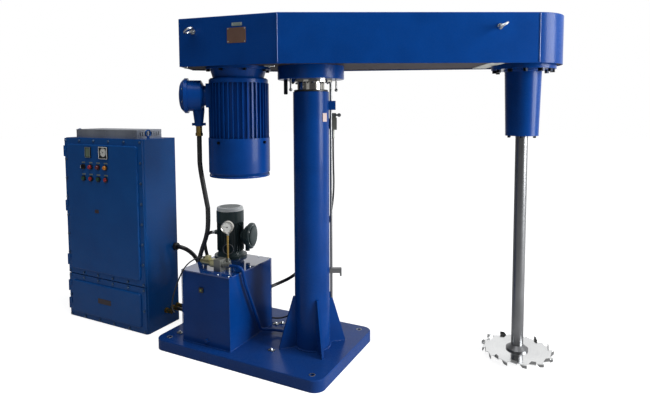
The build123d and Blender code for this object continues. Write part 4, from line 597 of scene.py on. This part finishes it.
@dataclass
class Column:
    """Weld beads, label plate and lip of the column and the collar."""

    radius: float = 0.1225
    foot: float = 0.078
    top: float = 1.850
    flange: float = 1.9137
    label_size: tuple[float, float] = (0.040, 0.058)

    def build(self) -> None:
        """Build the foot bead, gusset beads, wiper ring and label."""
        foot = bead(arc((COLUMN_X, 0), self.radius + 0.003, 0, 359.5, self.foot + 0.003, 200), 0.007, (0, 0, 1))
        low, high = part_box("column_gussets")
        seams = [foot]
        for k in range(4):
            angle = math.radians(45 + 90 * k) if high.x - low.x < 0.44 else math.radians(90 * k)
            out = np.array([math.cos(angle), math.sin(angle), 0.0])
            side = np.array([-out[1], out[0], 0.0])
            for s in (-1, 1):
                root = np.array([COLUMN_X, 0, 0]) + out * (self.radius + 0.002) + side * s * 0.009
                rise = np.stack([root + (0, 0, self.foot), root + (0, 0, high.z - 0.004)])
                seams.append(bead(rise, 0.004, side))
                end = root + out * 0.112
                seams.append(bead(np.stack([root + (0, 0, self.foot + 0.001), end + (0, 0, self.foot + 0.001)]),
                                  0.004, (0, 0, 1)))
        merge(seams).piece("column_weld_beads", ENAMEL, "base", "blue_paint")
        lathe([(0.0935, 0.0), (0.112, 0.0), (0.116, 0.003), (0.116, 0.011), (0.112, 0.014), (0.0960, 0.014),
               (0.0935, 0.010), (0.0935, 0.0)], 96).placed(
            frame_at((COLUMN_X, 0, self.top), (0, 0, 1), (0, 1, 0))).piece(
            "ram_wiper_ring", BLACK_PLASTIC, "base", "black_rubber")
        spots = [(math.cos(a), math.sin(a)) for a in TAU * (np.arange(16) + 0.5) / 16]
        merge([hexagon(0.013, 0.007, frame_at((COLUMN_X + 0.131 * x, 0.131 * y, self.flange), (0, 0, -1), (0, 1, 0)))
               for x, y in spots]).piece("ram_flange_bolts", BLACK_STEEL, "ram", "black_steel")
        angle = math.radians(-14)
        out = np.array([math.cos(angle), math.sin(angle), 0.0])
        centre = np.array([COLUMN_X, 0, 1.678]) + out * (self.radius - 0.0005)
        slab(*self.label_size, 0.003, 0.003).placed(frame_at(centre, out)).piece(
            "column_label_plate", LABEL, "base", "bright_steel")


@dataclass
class BasePlate:
    """Small fittings and beads on the base plate."""

    top: float = 0.078
    lugs: tuple[tuple[float, float], ...] = ((-0.569, -0.290), (0.190, -0.215), (-0.014, 0.165), (0.020, 0.198))

    def build(self) -> None:
        """Clamp lugs with bright bolts that hold the tank and the pipe, and washers at the anchor holes."""
        lugs, bolts = [], []
        for x, y in self.lugs:
            lugs.append(slab(0.046, 0.030, 0.006, 0.006).placed(frame_at((x, y, self.top), (0, 0, 1), (0, 1, 0))))
            bolts.append(hexagon(0.017, 0.010, frame_at((x, y, self.top + 0.006), (0, 0, 1), (0, 1, 0))))
        merge(lugs).piece("base_lugs", STEEL, "base", "grey_steel")
        merge(bolts).piece("base_lug_bolts", ZINC, "base", "bright_steel")
        rims = [lathe([(0.0132, -0.006), (0.0136, 0.0), (0.019, 0.0012), (0.021, 0.0002)], 40).placed(
            frame_at((sx * 0.592, sy * 0.372, self.top), (0, 0, 1), (0, 1, 0))) for sx in (-1, 1) for sy in (-1, 1)]
        merge(rims).piece("anchor_hole_rims", STEEL, "base", "grey_steel")


@dataclass
class Tank:
    """Beads, lid screws, level eye and the pump's plates."""

    left: float = -0.466
    right: float = -0.045
    front: float = -0.368
    back: float = 0.154
    top: float = 0.599

    def build(self) -> None:
        """Build the foot bead, the lid's screws, the level eye and the gauge's face."""
        z = 0.080
        ring = np.array([(self.left, self.front, z), (self.right, self.front, z), (self.right, self.back, z),
                         (self.left, self.back, z), (self.left, self.front, z)])
        beads = [bead(ring[i:i + 2], 0.005, (0, 0, 1)) for i in range(4)]
        for x, y in ((self.left, self.front), (self.right, self.front), (self.right, self.back)):
            beads.append(bead(np.array([(x, y, 0.08), (x, y, self.top - 0.01)]), 0.0022, (1, 1, 0), 0.3))
        merge(beads).piece("tank_weld_beads", ENAMEL, "base", "blue_paint")
        spots = [(x, y) for x in (self.left + 0.014, -0.150, self.right - 0.014)
                 for y in (self.front + 0.014, self.back - 0.014)]
        spots += [(x, -0.105) for x in (self.left + 0.014, self.right - 0.014)]
        merge([hexagon(0.010, 0.005, frame_at((x, y, self.top), (0, 0, 1), (0, 1, 0))) for x, y in spots]).piece(
            "tank_lid_screws", ZINC, "base", "bright_steel")
        eye = frame_at((-0.286, self.front - 0.009, 0.476), (0, -1, 0))
        slab(0.036, 0.036, 0.0105, 0.004, 0.001).placed(frame_at((-0.286, self.front, 0.476), (0, -1, 0))).piece(
            "level_eye_rim", BLACK_PLASTIC, "base", "instrument_black")
        hexagon(0.030, 0.0105, frame_at((-0.246, self.front, 0.118), (0, -1, 0))).piece(
            "drain_plug_paint", ENAMEL, "base", "blue_paint")
        lathe([(0.0302, 0.0), (0.0302, 0.0245), (0.0285, 0.0275), (0.0225, 0.0290), (0.0168, 0.0300)], 48).placed(
            frame_at((-0.887, 0.014, 0.624), (1, 0, 0))).piece("side_gland_boot", BLACK_PLASTIC, "base", "black_rubber")
        lathe([(0.0090, 0.0012), (0.0060, 0.0026), (1e-6, 0.0030)], 28).placed(eye).piece(
            "level_eye_glass", OIL_GLASS, "base", "brass")
        self.gauge()
        self.motor_cap()
        self.motor_ring()
        self.pump_box()
        self.ferrules()

    def gauge(self) -> None:
        """Bezel, dial, ticks and needle of the pressure gauge, and its brass tube."""
        turn = math.radians(24 - 90)
        normal = np.array([math.cos(turn), math.sin(turn), 0.0])
        centre = np.array([-0.170, -0.214, 0.902]) + normal * 0.016
        place = frame_at(centre, normal)
        lathe([(0.0430, -0.030), (0.0434, -0.028), (0.0434, 0.0005), (0.0426, 0.0022), (0.0405, 0.0026),
               (0.0385, 0.0008), (0.0380, -0.0026)], 64).placed(place).piece(
            "gauge_bezel", CHROME, "base", "bright_steel")
        dial(place, 0.0378, -0.0027, "gauge", "base", math.radians(225), 270, 26, 55)
        line = np.stack([np.full(2, -0.170), np.full(2, -0.214), np.array([0.660, 0.846])], -1)
        bead(line, 0.0068, (1, 0, 0), 0.0).piece("gauge_tube", BRASS, "base", "brass")

    def motor_ring(self) -> None:
        """Bright ring of the pump motor, hanging from its boss: a circle swept round a circle."""
        angle = math.radians(-62)
        out = np.array([math.cos(angle), math.sin(angle), 0.0])
        centre = np.array([-0.360, 0.065, 0.681]) + out * 0.113
        t = np.linspace(0, TAU, 73)
        side = np.cross((0, 0, 1), out)
        ring = centre + 0.0385 * (np.cos(t)[:, None] * side + np.sin(t)[:, None] * np.array([0, 0, 1.0]))
        bead(ring, 0.0039, out, 0.0).piece("pump_lifting_ring", STEEL, "base", "grey_steel")

    def pump_box(self) -> None:
        """Rim, raised field and screws of the cover of the pump motor's terminal box."""
        angle = math.radians(12)
        out = np.array([math.cos(angle), math.sin(angle), 0.0])
        side = np.array([-out[1], out[0], 0.0])
        centre = np.array([-0.360, 0.065, 0.768]) + out * 0.189
        lathe([(0.0985, -0.022), (0.0992, -0.018), (0.0992, -0.010), (0.0985, -0.007)], 72).placed(
            frame_at(centre, out)).piece("pump_cover_rim", PUMP_PAINT, "base", "motor_green")
        lathe([(0.072, 0.001), (0.072, 0.006), (0.069, 0.0075), (0.030, 0.0085), (1e-6, 0.0085)], 56).placed(
            frame_at(centre, out)).piece("pump_cover_field", PUMP_PAINT, "base", "motor_green")
        t = TAU * (np.arange(6) + 0.5) / 6
        merge([screw(0.0050, frame_at(centre + side * 0.083 * math.cos(a) + (0, 0, 0.083 * math.sin(a)), out))
               for a in t]).piece("pump_cover_screws", ZINC, "base", "bright_steel")

    def ferrules(self) -> None:
        """Swaged ferrules at both ends of the return hose and the sleeve of the pump motor's cable."""
        ends = (("hose_ferrule_tank", (-0.120, 0.198, 0.330), (0, 1, 0), 0.0146, 0.030),
                ("hose_ferrule_column", (0.25972, 0.07810, 0.63672), (-0.605, 0.350, -0.587), 0.0146, 0.026),
                ("pump_cable_sleeve", (-0.46785, 0.01471, 0.786), (-0.906, -0.423, 0), 0.0150, 0.022))
        for name, at, way, radius, length in ends:
            lathe([(radius * 0.86, -0.002), (radius, 0.0), (radius, length * 0.3), (radius * 0.97, length * 0.36),
                   (radius, length * 0.42), (radius, length * 0.72), (radius * 0.97, length * 0.78),
                   (radius, length * 0.84), (radius * 0.98, length), (radius * 0.90, length + 0.001)],
                  40).placed(frame_at(at, way)).piece(name, ZINC, "base", "bright_steel")

    def motor_cap(self) -> None:
        """Pale pressed cap over the pump motor's fan, with its ring of slots as dark dimples."""
        low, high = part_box("pump_motor")
        place = frame_at((-0.360, 0.065, high.z - 0.022), (0, 0, 1), (0, 1, 0))
        lathe([(0.1015, -0.012), (0.1020, 0.010), (0.0990, 0.0170), (0.0920, 0.0208), (0.0780, 0.0216),
               (0.0770, 0.0190), (0.0600, 0.0190), (0.0590, 0.0216), (0.0420, 0.0216), (0.0410, 0.0190),
               (0.0260, 0.0190), (0.0250, 0.0219), (1e-6, 0.0219)], 72).placed(place).piece(
            "pump_motor_cap", CAP_PAINT, "base", "grey_plastic")


def dial(place: np.ndarray, radius: float, level: float, name: str, body: str, start: float, sweep: float,
         ticks: int, needle: float) -> None:
    """A white dial with black ticks, a needle and a hub.

    Args:
        place: where it stands, its third axis towards the reader.
        radius: radius of the white face.
        level: height of the face along the third axis.
        name: first part of the pieces' names.
        body: the CAD body that they ride on.
        start: angle of the first tick, in radians.
        sweep: degrees from the first tick to the last.
        ticks: how many ticks.
        needle: degrees that the needle stands past the first tick.
    """
    lathe([(radius, level - 0.001), (radius, level + 0.0002), (1e-6, level + 0.0003)], 64).placed(place).piece(
        name + "_face", DIAL_WHITE, body, "bright_steel")
    marks = []
    for k in range(ticks):
        angle = start - math.radians(sweep) * k / (ticks - 1)
        long = k % 5 == 0
        reach = radius * (0.24 if long else 0.14)
        at = radius * 0.90 - reach / 2
        turn = np.eye(4)
        c, s = math.cos(angle), math.sin(angle)
        turn[:2, :2] = [[c, -s], [s, c]]
        turn[:3, 3] = (c * at, s * at, level)
        marks.append(slab(reach, radius * (0.05 if long else 0.03), 0.0006, 0.0003, 0.0001, 2).placed(turn))
    angle = start - math.radians(needle)
    turn = np.eye(4)
    c, s = math.cos(angle), math.sin(angle)
    turn[:2, :2] = [[c, -s], [s, c]]
    turn[:3, 3] = (c * radius * 0.28, s * radius * 0.28, level + 0.0006)
    marks.append(slab(radius * 0.86, radius * 0.05, 0.0006, 0.0004, 0.0001, 2).placed(turn))
    marks.append(lathe([(radius * 0.12, level), (radius * 0.11, level + 0.0016), (1e-6, level + 0.0018)], 24))
    merge(marks).placed(place).piece(name + "_marks", BLACK_PLASTIC, body, "instrument_black")


@dataclass
class Cabinet:
    """Instruments' faces, lenses, label strips, gaskets and marks of the control cabinet."""

    panel_front: float = -0.319
    door_front: float = -0.305
    lamp_x: tuple[float, ...] = (-1.444, -1.358, -1.272)
    rows: tuple[float, float] = (1.187, 1.282)
    button_left: float = -1.530
    pitch: float = 0.086

    def build(self) -> None:
        """Build everything on the doors and the top box."""
        self.lamps()
        self.instruments()
        strips = []
        for row in self.rows:
            for i in range(4):
                at = (self.button_left + i * self.pitch, self.panel_front, row + 0.034)
                strips.append(slab(0.040, 0.011, 0.0012, 0.002).placed(frame_at(at, (0, -1, 0))))
        merge(strips).piece("button_label_strips", GREY_PLATE, "upper_door", "bright_steel")
        rings = [lathe([(0.0222, 0.0), (0.0222, 0.0102), (0.0205, 0.0112), (0.0168, 0.0112), (0.0160, 0.0102)],
                       40).placed(frame_at((self.button_left + i * self.pitch, self.panel_front, row), (0, -1, 0)))
                 for row in self.rows for i in range(4)]
        merge(rings).piece("button_bezels", BLACK_PLASTIC, "upper_door", "instrument_black")
        screws = [screw(0.005, frame_at((x, -0.251, z), (0, -1, 0))) for x in (-1.660, -1.342, -1.024)
                  for z in (1.530, 1.564)]
        merge(screws).piece("top_box_screws", ZINC, "base", "bright_steel")
        plates = [slab(0.046, 0.028, 0.0014, 0.003).placed(frame_at((x, self.panel_front, z), (0, -1, 0)))
                  for x, z in ((-1.392, 0.925),)]
        merge(plates).piece("door_blank_plate", DARK_PLATE, "upper_door", "bronze")
        slab(0.150, 0.042, 0.0014, 0.003).placed(frame_at((-1.340, self.panel_front, 0.190), (0, -1, 0))).piece(
            "lower_door_blank_plate", DARK_PLATE, "lower_door", "bronze")
        self.gaskets()
        self.bolts()

    def bolts(self) -> None:
        """Overpainted heads over the bolts round the rims of both doors."""
        inset = 0.018
        left, right = -1.775 + inset, -0.891 - inset
        for body, low, high, rows in (("upper_door", 0.376, 1.508, 7), ("lower_door", 0.004, 0.368, 2)):
            spots = [(left + (right - left) * i / 5, z) for i in range(6) for z in (low + inset, high - inset)]
            spots += [(x, low + inset + (high - low - 2 * inset) * i / rows) for i in range(1, rows)
                      for x in (left, right)]
            merge([hexagon(0.0168, 0.0098, frame_at((x, self.door_front, z), (0, -1, 0))) for x, z in spots]).piece(
                body + "_bolt_heads", DULL_BOLT, body, "bright_steel")

    def gaskets(self) -> None:
        """Dark rubber seal between the doors and the shell, seen in the seam."""
        y = -0.2895
        for name, low, high, body in (("upper_gasket", 0.382, 1.502, "base"), ("lower_gasket", 0.010, 0.362, "base")):
            ring = np.array([(-1.768, y, low), (-0.898, y, low), (-0.898, y, high), (-1.768, y, high),
                             (-1.768, y, low)])
            merge([bead(ring[i:i + 2], 0.0034, (0, 1, 0), 0.0) for i in range(4)]).piece(
                name, BLACK_PLASTIC, body, "black_rubber")

    def lamps(self) -> None:
        """Domed lenses with ribs over the three pilot lamps."""
        for i, (x, finish) in enumerate(zip(self.lamp_x, (RED_PLASTIC, DARK_RED, AMBER))):
            place = frame_at((x, self.panel_front - 0.0100, self.rows[1]), (0, -1, 0))
            lathe([(0.0158, 0.0), (0.0158, 0.0085), (0.0150, 0.0112), (0.0128, 0.0136), (0.0098, 0.0134),
                   (0.0090, 0.0126), (0.0060, 0.0134), (1e-6, 0.0138)], 40).placed(place).piece(
                f"lamp_lens_{i + 1}", finish, "upper_door", "button_red")
        place = frame_at((self.button_left, self.panel_front - 0.0292, self.rows[1]), (0, -1, 0))
        slab(0.0032, 0.022, 0.0012, 0.001).placed(place).piece(
            "selector_mark", DIAL_WHITE, "selector_knob", "instrument_black")

    def instruments(self) -> None:
        """White bezel and dial of the meter, and the display's tinted window."""
        front = self.panel_front - 0.012
        place = frame_at((-1.288, front + 0.0008, 1.399), (0, -1, 0))
        frame_ring(0.096, 0.096, 0.0045, 0.0035).placed(place).piece(
            "meter_bezel", DIAL_WHITE, "upper_door", "bright_steel")
        dial(frame_at((-1.288, front + 0.0028, 1.403), (0, -1, 0)), 0.0330, 0.0, "meter", "upper_door",
             math.radians(200), 220, 21, 40)
        slab(0.047, 0.069, 0.0016, 0.002).placed(frame_at((-1.466, front + 0.0026, 1.399), (0, -1, 0))).piece(
            "display_window", DISPLAY, "upper_door", "instrument_black")
        place = frame_at((-1.466, front + 0.0008, 1.399), (0, -1, 0))
        frame_ring(0.062, 0.084, 0.0040, 0.0030).placed(place).piece(
            "display_bezel", GREY_PLATE, "upper_door", "bright_steel")


def frame_ring(width: float, height: float, band: float, depth: float, steps: int = 4) -> Surface:
    """A rectangular rim, half round in section, band wide, that stands on its place."""
    t = np.linspace(0, TAU, 4 * steps, endpoint=False) + TAU / (8 * steps)
    corner = band * 1.4
    cx = np.sign(np.cos(t)) * (width / 2 - corner)
    cy = np.sign(np.sin(t)) * (height / 2 - corner)
    turn = np.linspace(0, math.pi, 9)
    r = corner - band / 2 * (1 - np.cos(turn))
    x = cx + np.outer(r, np.cos(t))
    y = cy + np.outer(r, np.sin(t))
    z = np.repeat((depth * np.sin(turn))[:, None], len(t), 1)
    return grid(np.stack([x, y, z], -1))


@dataclass
class MainMotor:
    """Fasteners and marks of the main motor under the beam."""

    axis_x: float = -0.497
    cowl_bottom: float = 1.276

    def build(self) -> None:
        """Build the cowl's rolled lip and the screws of the terminal box's cover."""
        centre = head_point(self.axis_x, 0.0, 0.0)
        lathe([(0.2052, 0.0), (0.2064, 0.004), (0.2064, 0.010), (0.2052, 0.014)], 96).placed(
            frame_at(centre + (0, 0, self.cowl_bottom + 0.002), (0, 0, 1), (0, 1, 0))).piece(
            "cowl_rolled_lip", CAST_ENAMEL, "head", "blue_paint")
        angle = math.radians(190)
        out = head_direction(math.cos(angle), math.sin(angle))
        side = head_direction(-math.sin(angle), math.cos(angle))
        reach = 0.205 + 0.012 + 0.150
        cover = frame_at(centre + out * (reach + 0.0005) + (0, 0, 1.828), out)
        lathe([(0.101, -0.002), (0.101, 0.004), (0.098, 0.010), (0.089, 0.017), (0.073, 0.023), (0.050, 0.027),
               (0.025, 0.029), (1e-6, 0.0295)], 72).placed(cover).piece("terminal_cover_dome", CAST_ENAMEL, "head", "blue_paint")
        screws = []
        for k in range(8):
            t = TAU * (k + 0.5) / 8
            at = centre + out * reach + side * 0.108 * math.cos(t) + (0, 0, 1.828 + 0.108 * math.sin(t))
            screws.append(screw(0.0055, frame_at(at, out)))
        merge(screws).piece("terminal_cover_screws", ZINC, "head", "bright_steel")


@dataclass
class SpindleSide:
    """Weld bead and lip seal of the spindle housing."""

    spindle_x: float = 1.425

    def build(self) -> None:
        """Build the weld under the flange and the lip seal at the end cap."""
        centre = head_point(self.spindle_x, 0.0, 0.0)
        bead(arc(centre, 0.1185, 0, 359.5, 1.982, 160), 0.005, (0, 0, 1)).piece(
            "housing_flange_bead", ENAMEL, "head", "blue_paint")
        lathe([(0.0412, 0.0), (0.052, 0.0), (0.054, 0.003), (0.054, 0.008), (0.0412, 0.010)], 64).placed(
            frame_at(centre + (0, 0, 1.5515), (0, 0, 1), (0, 1, 0))).piece(
            "spindle_lip_seal", BLACK_PLASTIC, "head", "black_rubber")


def spline(points: np.ndarray, bevel: float) -> bpy.types.Object:
    """A smooth curve that starts and ends at the first and last of its points, with a round section."""
    data = bpy.data.curves.new("route", "CURVE")
    data.dimensions = "3D"
    data.resolution_u = 10
    data.bevel_depth = bevel
    data.bevel_resolution = 5
    data.use_fill_caps = True
    line = data.splines.new("NURBS")
    line.points.add(len(points) - 1)
    line.points.foreach_set("co", np.column_stack([points, np.ones(len(points))]).ravel())
    line.order_u = 3
    line.use_endpoint_u = True
    made = bpy.data.objects.new("route", data)
    bpy.context.collection.objects.link(made)
    return made


def followed(points: np.ndarray) -> np.ndarray:
    """The points that the spline through a route really passes."""
    route = spline(points, 0.0)
    bpy.context.view_layer.update()
    mesh = bpy.data.meshes.new_from_object(route.evaluated_get(bpy.context.evaluated_depsgraph_get()))
    flat = np.zeros(len(mesh.vertices) * 3)
    mesh.vertices.foreach_get("co", flat)
    bpy.data.objects.remove(route)
    return flat.reshape(-1, 3)


def length_of(path: np.ndarray) -> float:
    """The length of a polyline."""
    return float(np.linalg.norm(np.diff(path, axis=0), axis=1).sum())


@dataclass
class Cord:
    """A free cord that stays on one body, drawn as a curve."""

    name: str
    diameter: float
    points: list[tuple[float, float, float]]
    node: str
    finish: Finish
    stiffness: str = "medium"

    def build(self) -> None:
        points = np.array(self.points) * MM
        made = spline(points, self.diameter / 2)
        made.name = self.name
        made.data.materials.append(self.finish.material())
        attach(made, "base")
        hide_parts(self.node)
        length_of(followed(points))


@dataclass
class MotorCable:
    """The main motor's cable, in two stretches."""

    diameter: float = 0.034
    upper: tuple = ((-275.18, -369.58, 1555), (-275.18, -369.58, 1430), (-275.18, -369.58, 1345),
                    (-263, -346, 1190), (-262, -312, 1050))
    lower: tuple = ((-262, -312, 1050), (-302, -260, 910), (-384, -196, 790), (-464, -150, 688),
                    (-518, -132, 570), (-540, -148, 446), (-546, -176, 332), (-590, -108, 218),
                    (-650, 14, 178), (-704, 128, 226), (-722, 168, 330), (-728, 150, 420),
                    (-740, 110, 506), (-756, 64, 574), (-801.8, 14, 624), (-863, 14, 624))

    def build(self) -> None:
        """Build both stretches as mesh tubes."""
        for name, route, node, bodies, span in (
            ("motor_cable_top", self.upper, "motor_cable_upper", ("head", "ram"), (0, -1)),
            ("motor_cable_bottom", self.lower, "motor_cable_lower", ("ram", "base"), (0, 8)),
        ):
            points = np.array(route, float) * MM
            path = followed(points)
            curve = spline(points, self.diameter / 2)
            bpy.context.view_layer.update()
            mesh = bpy.data.meshes.new_from_object(
                curve.evaluated_get(bpy.context.evaluated_depsgraph_get()))
            bpy.data.objects.remove(curve)
            mesh.materials.clear()
            mesh.materials.append(RUBBER.material())
            made = bpy.data.objects.new(name, mesh)
            bpy.context.collection.objects.link(made)
            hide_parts(node)
            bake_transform(made)


def build_cords() -> None:
    """Build every free cord."""
    Cord("pump_motor_cable", 0.026, [
        (-467.85, 14.71, 786), (-496.13, 1.52, 786), (-526, -13, 766), (-544, -21, 730), (-545, -18, 668),
        (-530, -4, 570), (-520, 10, 450), (-524, 18, 330), (-544, 20, 222), (-592, 14, 146),
        (-664, -6, 112), (-734, -28, 112), (-786, -37, 130), (-825, -37, 130)], "pump_cable", RUBBER).build()
    Cord("solenoid_lead", 0.010, [
        (-327, -262, 678), (-352, -262, 678), (-386, -290, 670), (-416, -330, 652), (-436, -374, 614),
        (-456, -400, 552), (-494, -402, 470), (-548, -374, 386), (-616, -318, 300), (-684, -240, 218),
        (-744, -160, 158), (-795, -105, 130), (-825, -105, 130)], "solenoid_cable", RUBBER).build()
    Cord("limit_switch_lead", 0.012, [
        (509.49, 108.44, 1530), (509.49, 108.44, 1470), (508, 114, 1340), (506, 126, 1210), (486, 152, 1080),
        (450, 176, 950), (405, 186, 820), (352, 184, 690), (306, 190, 560), (262, 206, 420),
        (205, 224, 290), (120, 232, 180), (20, 226, 110), (-95, 214, 94), (-230, 216, 96),
        (-365, 206, 98), (-490, 180, 100), (-600, 136, 96), (-690, 80, 98), (-748, 38, 116),
        (-795, 20, 130), (-825, 20, 130)], "limit_cable", RUBBER).build()
    Cord("oil_return_hose", 0.026, [
        (-120, 198, 330), (-120, 246.1, 330), (-106, 294, 334), (-70, 334, 350), (-14, 352, 380),
        (46, 340, 422), (98, 302, 464), (140, 250, 504), (172, 196, 540), (199, 146, 574),
        (226.95, 97.02, 604.96), (259.72, 78.10, 636.72)], "return_hose", RUBBER).build()
    MotorCable().build()


@dataclass
class Studio:
    """Camera, pale floor, plain soft lights and a white surround."""

    eye: tuple[float, float, float] = (2.063, -3.070, 1.7231)
    heading: float = 0.4804
    pitch: float = 0.0692
    roll: float = -0.0051
    lens: float = 28.193
    shift: tuple[float, float] = (0.00751, -0.08326)
    plain_level: float = 0.15
    dim_level: float = 0.10
    white_side: tuple[float, float, float] = (0.46, 0.80, 0.39)
    lights: tuple = (
        ("overhead", (0.3, -1.0, 5.0), (0.0, 0.1, 0.6), (3.6, 3.0), 112.0),
        ("right_window", (6.2, 0.4, 2.5), (0.0, 0.0, 1.0), (2.6, 3.6), 450.0),
        ("front_fill", (0.6, -6.4, 2.8), (-0.2, 0.0, 1.0), (3.0, 2.2), 8.0),
    )

    def camera(self) -> None:
        """Stand the camera where the photograph was taken from."""
        a, p, r = self.heading, self.pitch, self.roll
        right = Vector((math.cos(a), math.sin(a), 0))
        ahead = Vector((-math.sin(a), math.cos(a), 0))
        down = Vector((0, 0, -1))
        forward = ahead * math.cos(p) + down * math.sin(p)
        up = ahead * math.sin(p) - down * math.cos(p)
        side = right * math.cos(r) + up * math.sin(r)
        top = up * math.cos(r) - right * math.sin(r)
        data = bpy.data.cameras.new("photo_view")
        data.sensor_width = 36.0
        data.lens = self.lens
        data.shift_x, data.shift_y = self.shift
        cam = bpy.data.objects.new("photo_view", data)
        bpy.context.collection.objects.link(cam)
        place = Matrix((side, top, -forward)).transposed().to_4x4()
        place.translation = Vector(self.eye)
        cam.matrix_world = place
        bpy.context.scene.camera = cam

    def seen(self, tree: bpy.types.NodeTree, with_glossy: bool = True) -> bpy.types.NodeSocket:
        """1 for rays of the camera, of transmission and, where asked, of reflections, else 0."""
        path = add_node(tree, "ShaderNodeLightPath")
        clear = add_node(tree, "ShaderNodeMath", {"operation": "MAXIMUM"},
                         links={0: path.outputs["Is Camera Ray"], 1: path.outputs["Is Transmission Ray"]})
        if not with_glossy:
            return clear.outputs[0]
        return add_node(tree, "ShaderNodeMath", {"operation": "MAXIMUM"},
                        links={0: clear.outputs[0], 1: path.outputs["Is Glossy Ray"]}).outputs[0]

    def world(self) -> None:
        """White to the eye and in reflections, a plain grey level for the light that it sheds."""
        world = bpy.data.worlds.new("surround")
        world.use_nodes = True
        tree = world.node_tree
        tree.nodes.clear()
        plain = add_node(tree, "ShaderNodeBackground", values={0: (0.94, 0.97, 1.0, 1.0), 1: self.plain_level})
        # Reflections see white behind, above and to the right of the machine, and the dim room round the camera.
        where = add_node(tree, "ShaderNodeTexCoord").outputs["Generated"]
        share = add_node(tree, "ShaderNodeVectorMath", {"operation": "DOT_PRODUCT"}, {1: self.white_side},
                         {0: where})
        level = add_node(tree, "ShaderNodeMapRange",
                         {"interpolation_type": "SMOOTHSTEP"},
                         {"From Min": 0.0, "From Max": 0.6, "To Min": self.dim_level, "To Max": 1.0},
                         {"Value": share.outputs["Value"]})
        shown = add_node(tree, "ShaderNodeMath", {"operation": "MAXIMUM"},
                         links={0: self.seen(tree, False), 1: level.outputs[0]})
        seen = add_node(tree, "ShaderNodeBackground", values={0: (1.0, 1.0, 1.0, 1.0)},
                        links={1: shown.outputs[0]})
        mix = add_node(tree, "ShaderNodeMixShader",
                       links={0: self.seen(tree), 1: plain.outputs[0], 2: seen.outputs[0]})
        add_node(tree, "ShaderNodeOutputWorld", links={0: mix.outputs[0]})
        bpy.context.scene.world = world

    def floor(self) -> None:
        """A wide pale floor that keeps a soft shadow."""
        side = 30.0
        mesh = bpy.data.meshes.new("studio_floor")
        mesh.from_pydata([(-side, -side, 0), (side, -side, 0), (side, side, 0), (-side, side, 0)], [], [(0, 1, 2, 3)])
        mat = bpy.data.materials.new("matt_studio_floor")
        mat.use_nodes = True
        tree = mat.node_tree
        shader = tree.nodes["Principled BSDF"]
        shader.inputs["Base Color"].default_value = linear("#C4C4C4")
        shader.inputs["Roughness"].default_value = 0.9
        shader.inputs["Specular IOR Level"].default_value = 0.0
        # The glow grows with the distance, so that the floor runs into the white surround without a horizon.
        away = add_node(tree, "ShaderNodeVectorMath", {"operation": "LENGTH"},
                        links={0: add_node(tree, "ShaderNodeTexCoord").outputs["Object"]})
        rise = add_node(tree, "ShaderNodeMapRange", {"interpolation_type": "SMOOTHSTEP"},
                        {"From Min": 2.0, "From Max": 7.0, "To Min": 0.84, "To Max": 1.0},
                        {"Value": away.outputs["Value"]})
        # Reflections see the same dim room on the camera's side as they do in the world.
        spot = add_node(tree, "ShaderNodeTexCoord").outputs["Object"]
        reach = add_node(tree, "ShaderNodeVectorMath", {"operation": "DOT_PRODUCT"}, {1: (0.66, 0.75, 0.0)}, {0: spot})
        level = add_node(tree, "ShaderNodeMapRange", {"interpolation_type": "SMOOTHSTEP"},
                         {"From Min": 1.0, "From Max": 5.0, "To Min": self.dim_level, "To Max": 0.9},
                         {"Value": reach.outputs["Value"]})
        strength = add_node(tree, "ShaderNodeMix", {"data_type": "FLOAT"},
                            links={0: self.seen(tree, False), 2: level.outputs[0], 3: rise.outputs[0]})
        glow = add_node(tree, "ShaderNodeEmission", values={0: (1.0, 1.0, 1.0, 1.0)}, links={1: strength.outputs[0]})
        only = add_node(tree, "ShaderNodeMixShader", links={0: self.seen(tree), 2: glow.outputs[0]})
        both = add_node(tree, "ShaderNodeAddShader", links={0: shader.outputs[0], 1: only.outputs[0]})
        tree.links.new(both.outputs[0], tree.nodes["Material Output"].inputs[0])
        mesh.materials.append(mat)
        floor = bpy.data.objects.new("studio_floor", mesh)
        bpy.context.collection.objects.link(floor)

    def lamps(self) -> None:
        """Three large soft lights."""
        for name, place, aim, size, watts in self.lights:
            data = bpy.data.lights.new(name, "AREA")
            data.shape = "RECTANGLE"
            data.size, data.size_y = size
            data.energy = watts
            lamp = bpy.data.objects.new(name, data)
            bpy.context.collection.objects.link(lamp)
            lamp.location = place
            lamp.rotation_euler = (Vector(aim) - Vector(place)).to_track_quat("-Z", "Y").to_euler()

    def build(self) -> None:
        """Set the stage."""
        self.camera()
        self.world()
        self.floor()
        self.lamps()
        bpy.context.scene.view_settings.view_transform = "Standard"


def main() -> None:
    """Build the scene in order and report each piece."""
    logging.basicConfig(level=logging.INFO, format="%(message)s")
    Studio().build()
    log.info("stage set")
    dress_nodes()
    log.info("CAD nodes dressed")
    build_cords()
    log.info("cords laid")
    for part in (BasePlate(), Column(), Tank(), Cabinet(), Beam(), MainMotor(), SpindleSide()):
        part.build()
        log.info("%s built", type(part).__name__)


if __name__ == "__main__":
    main()
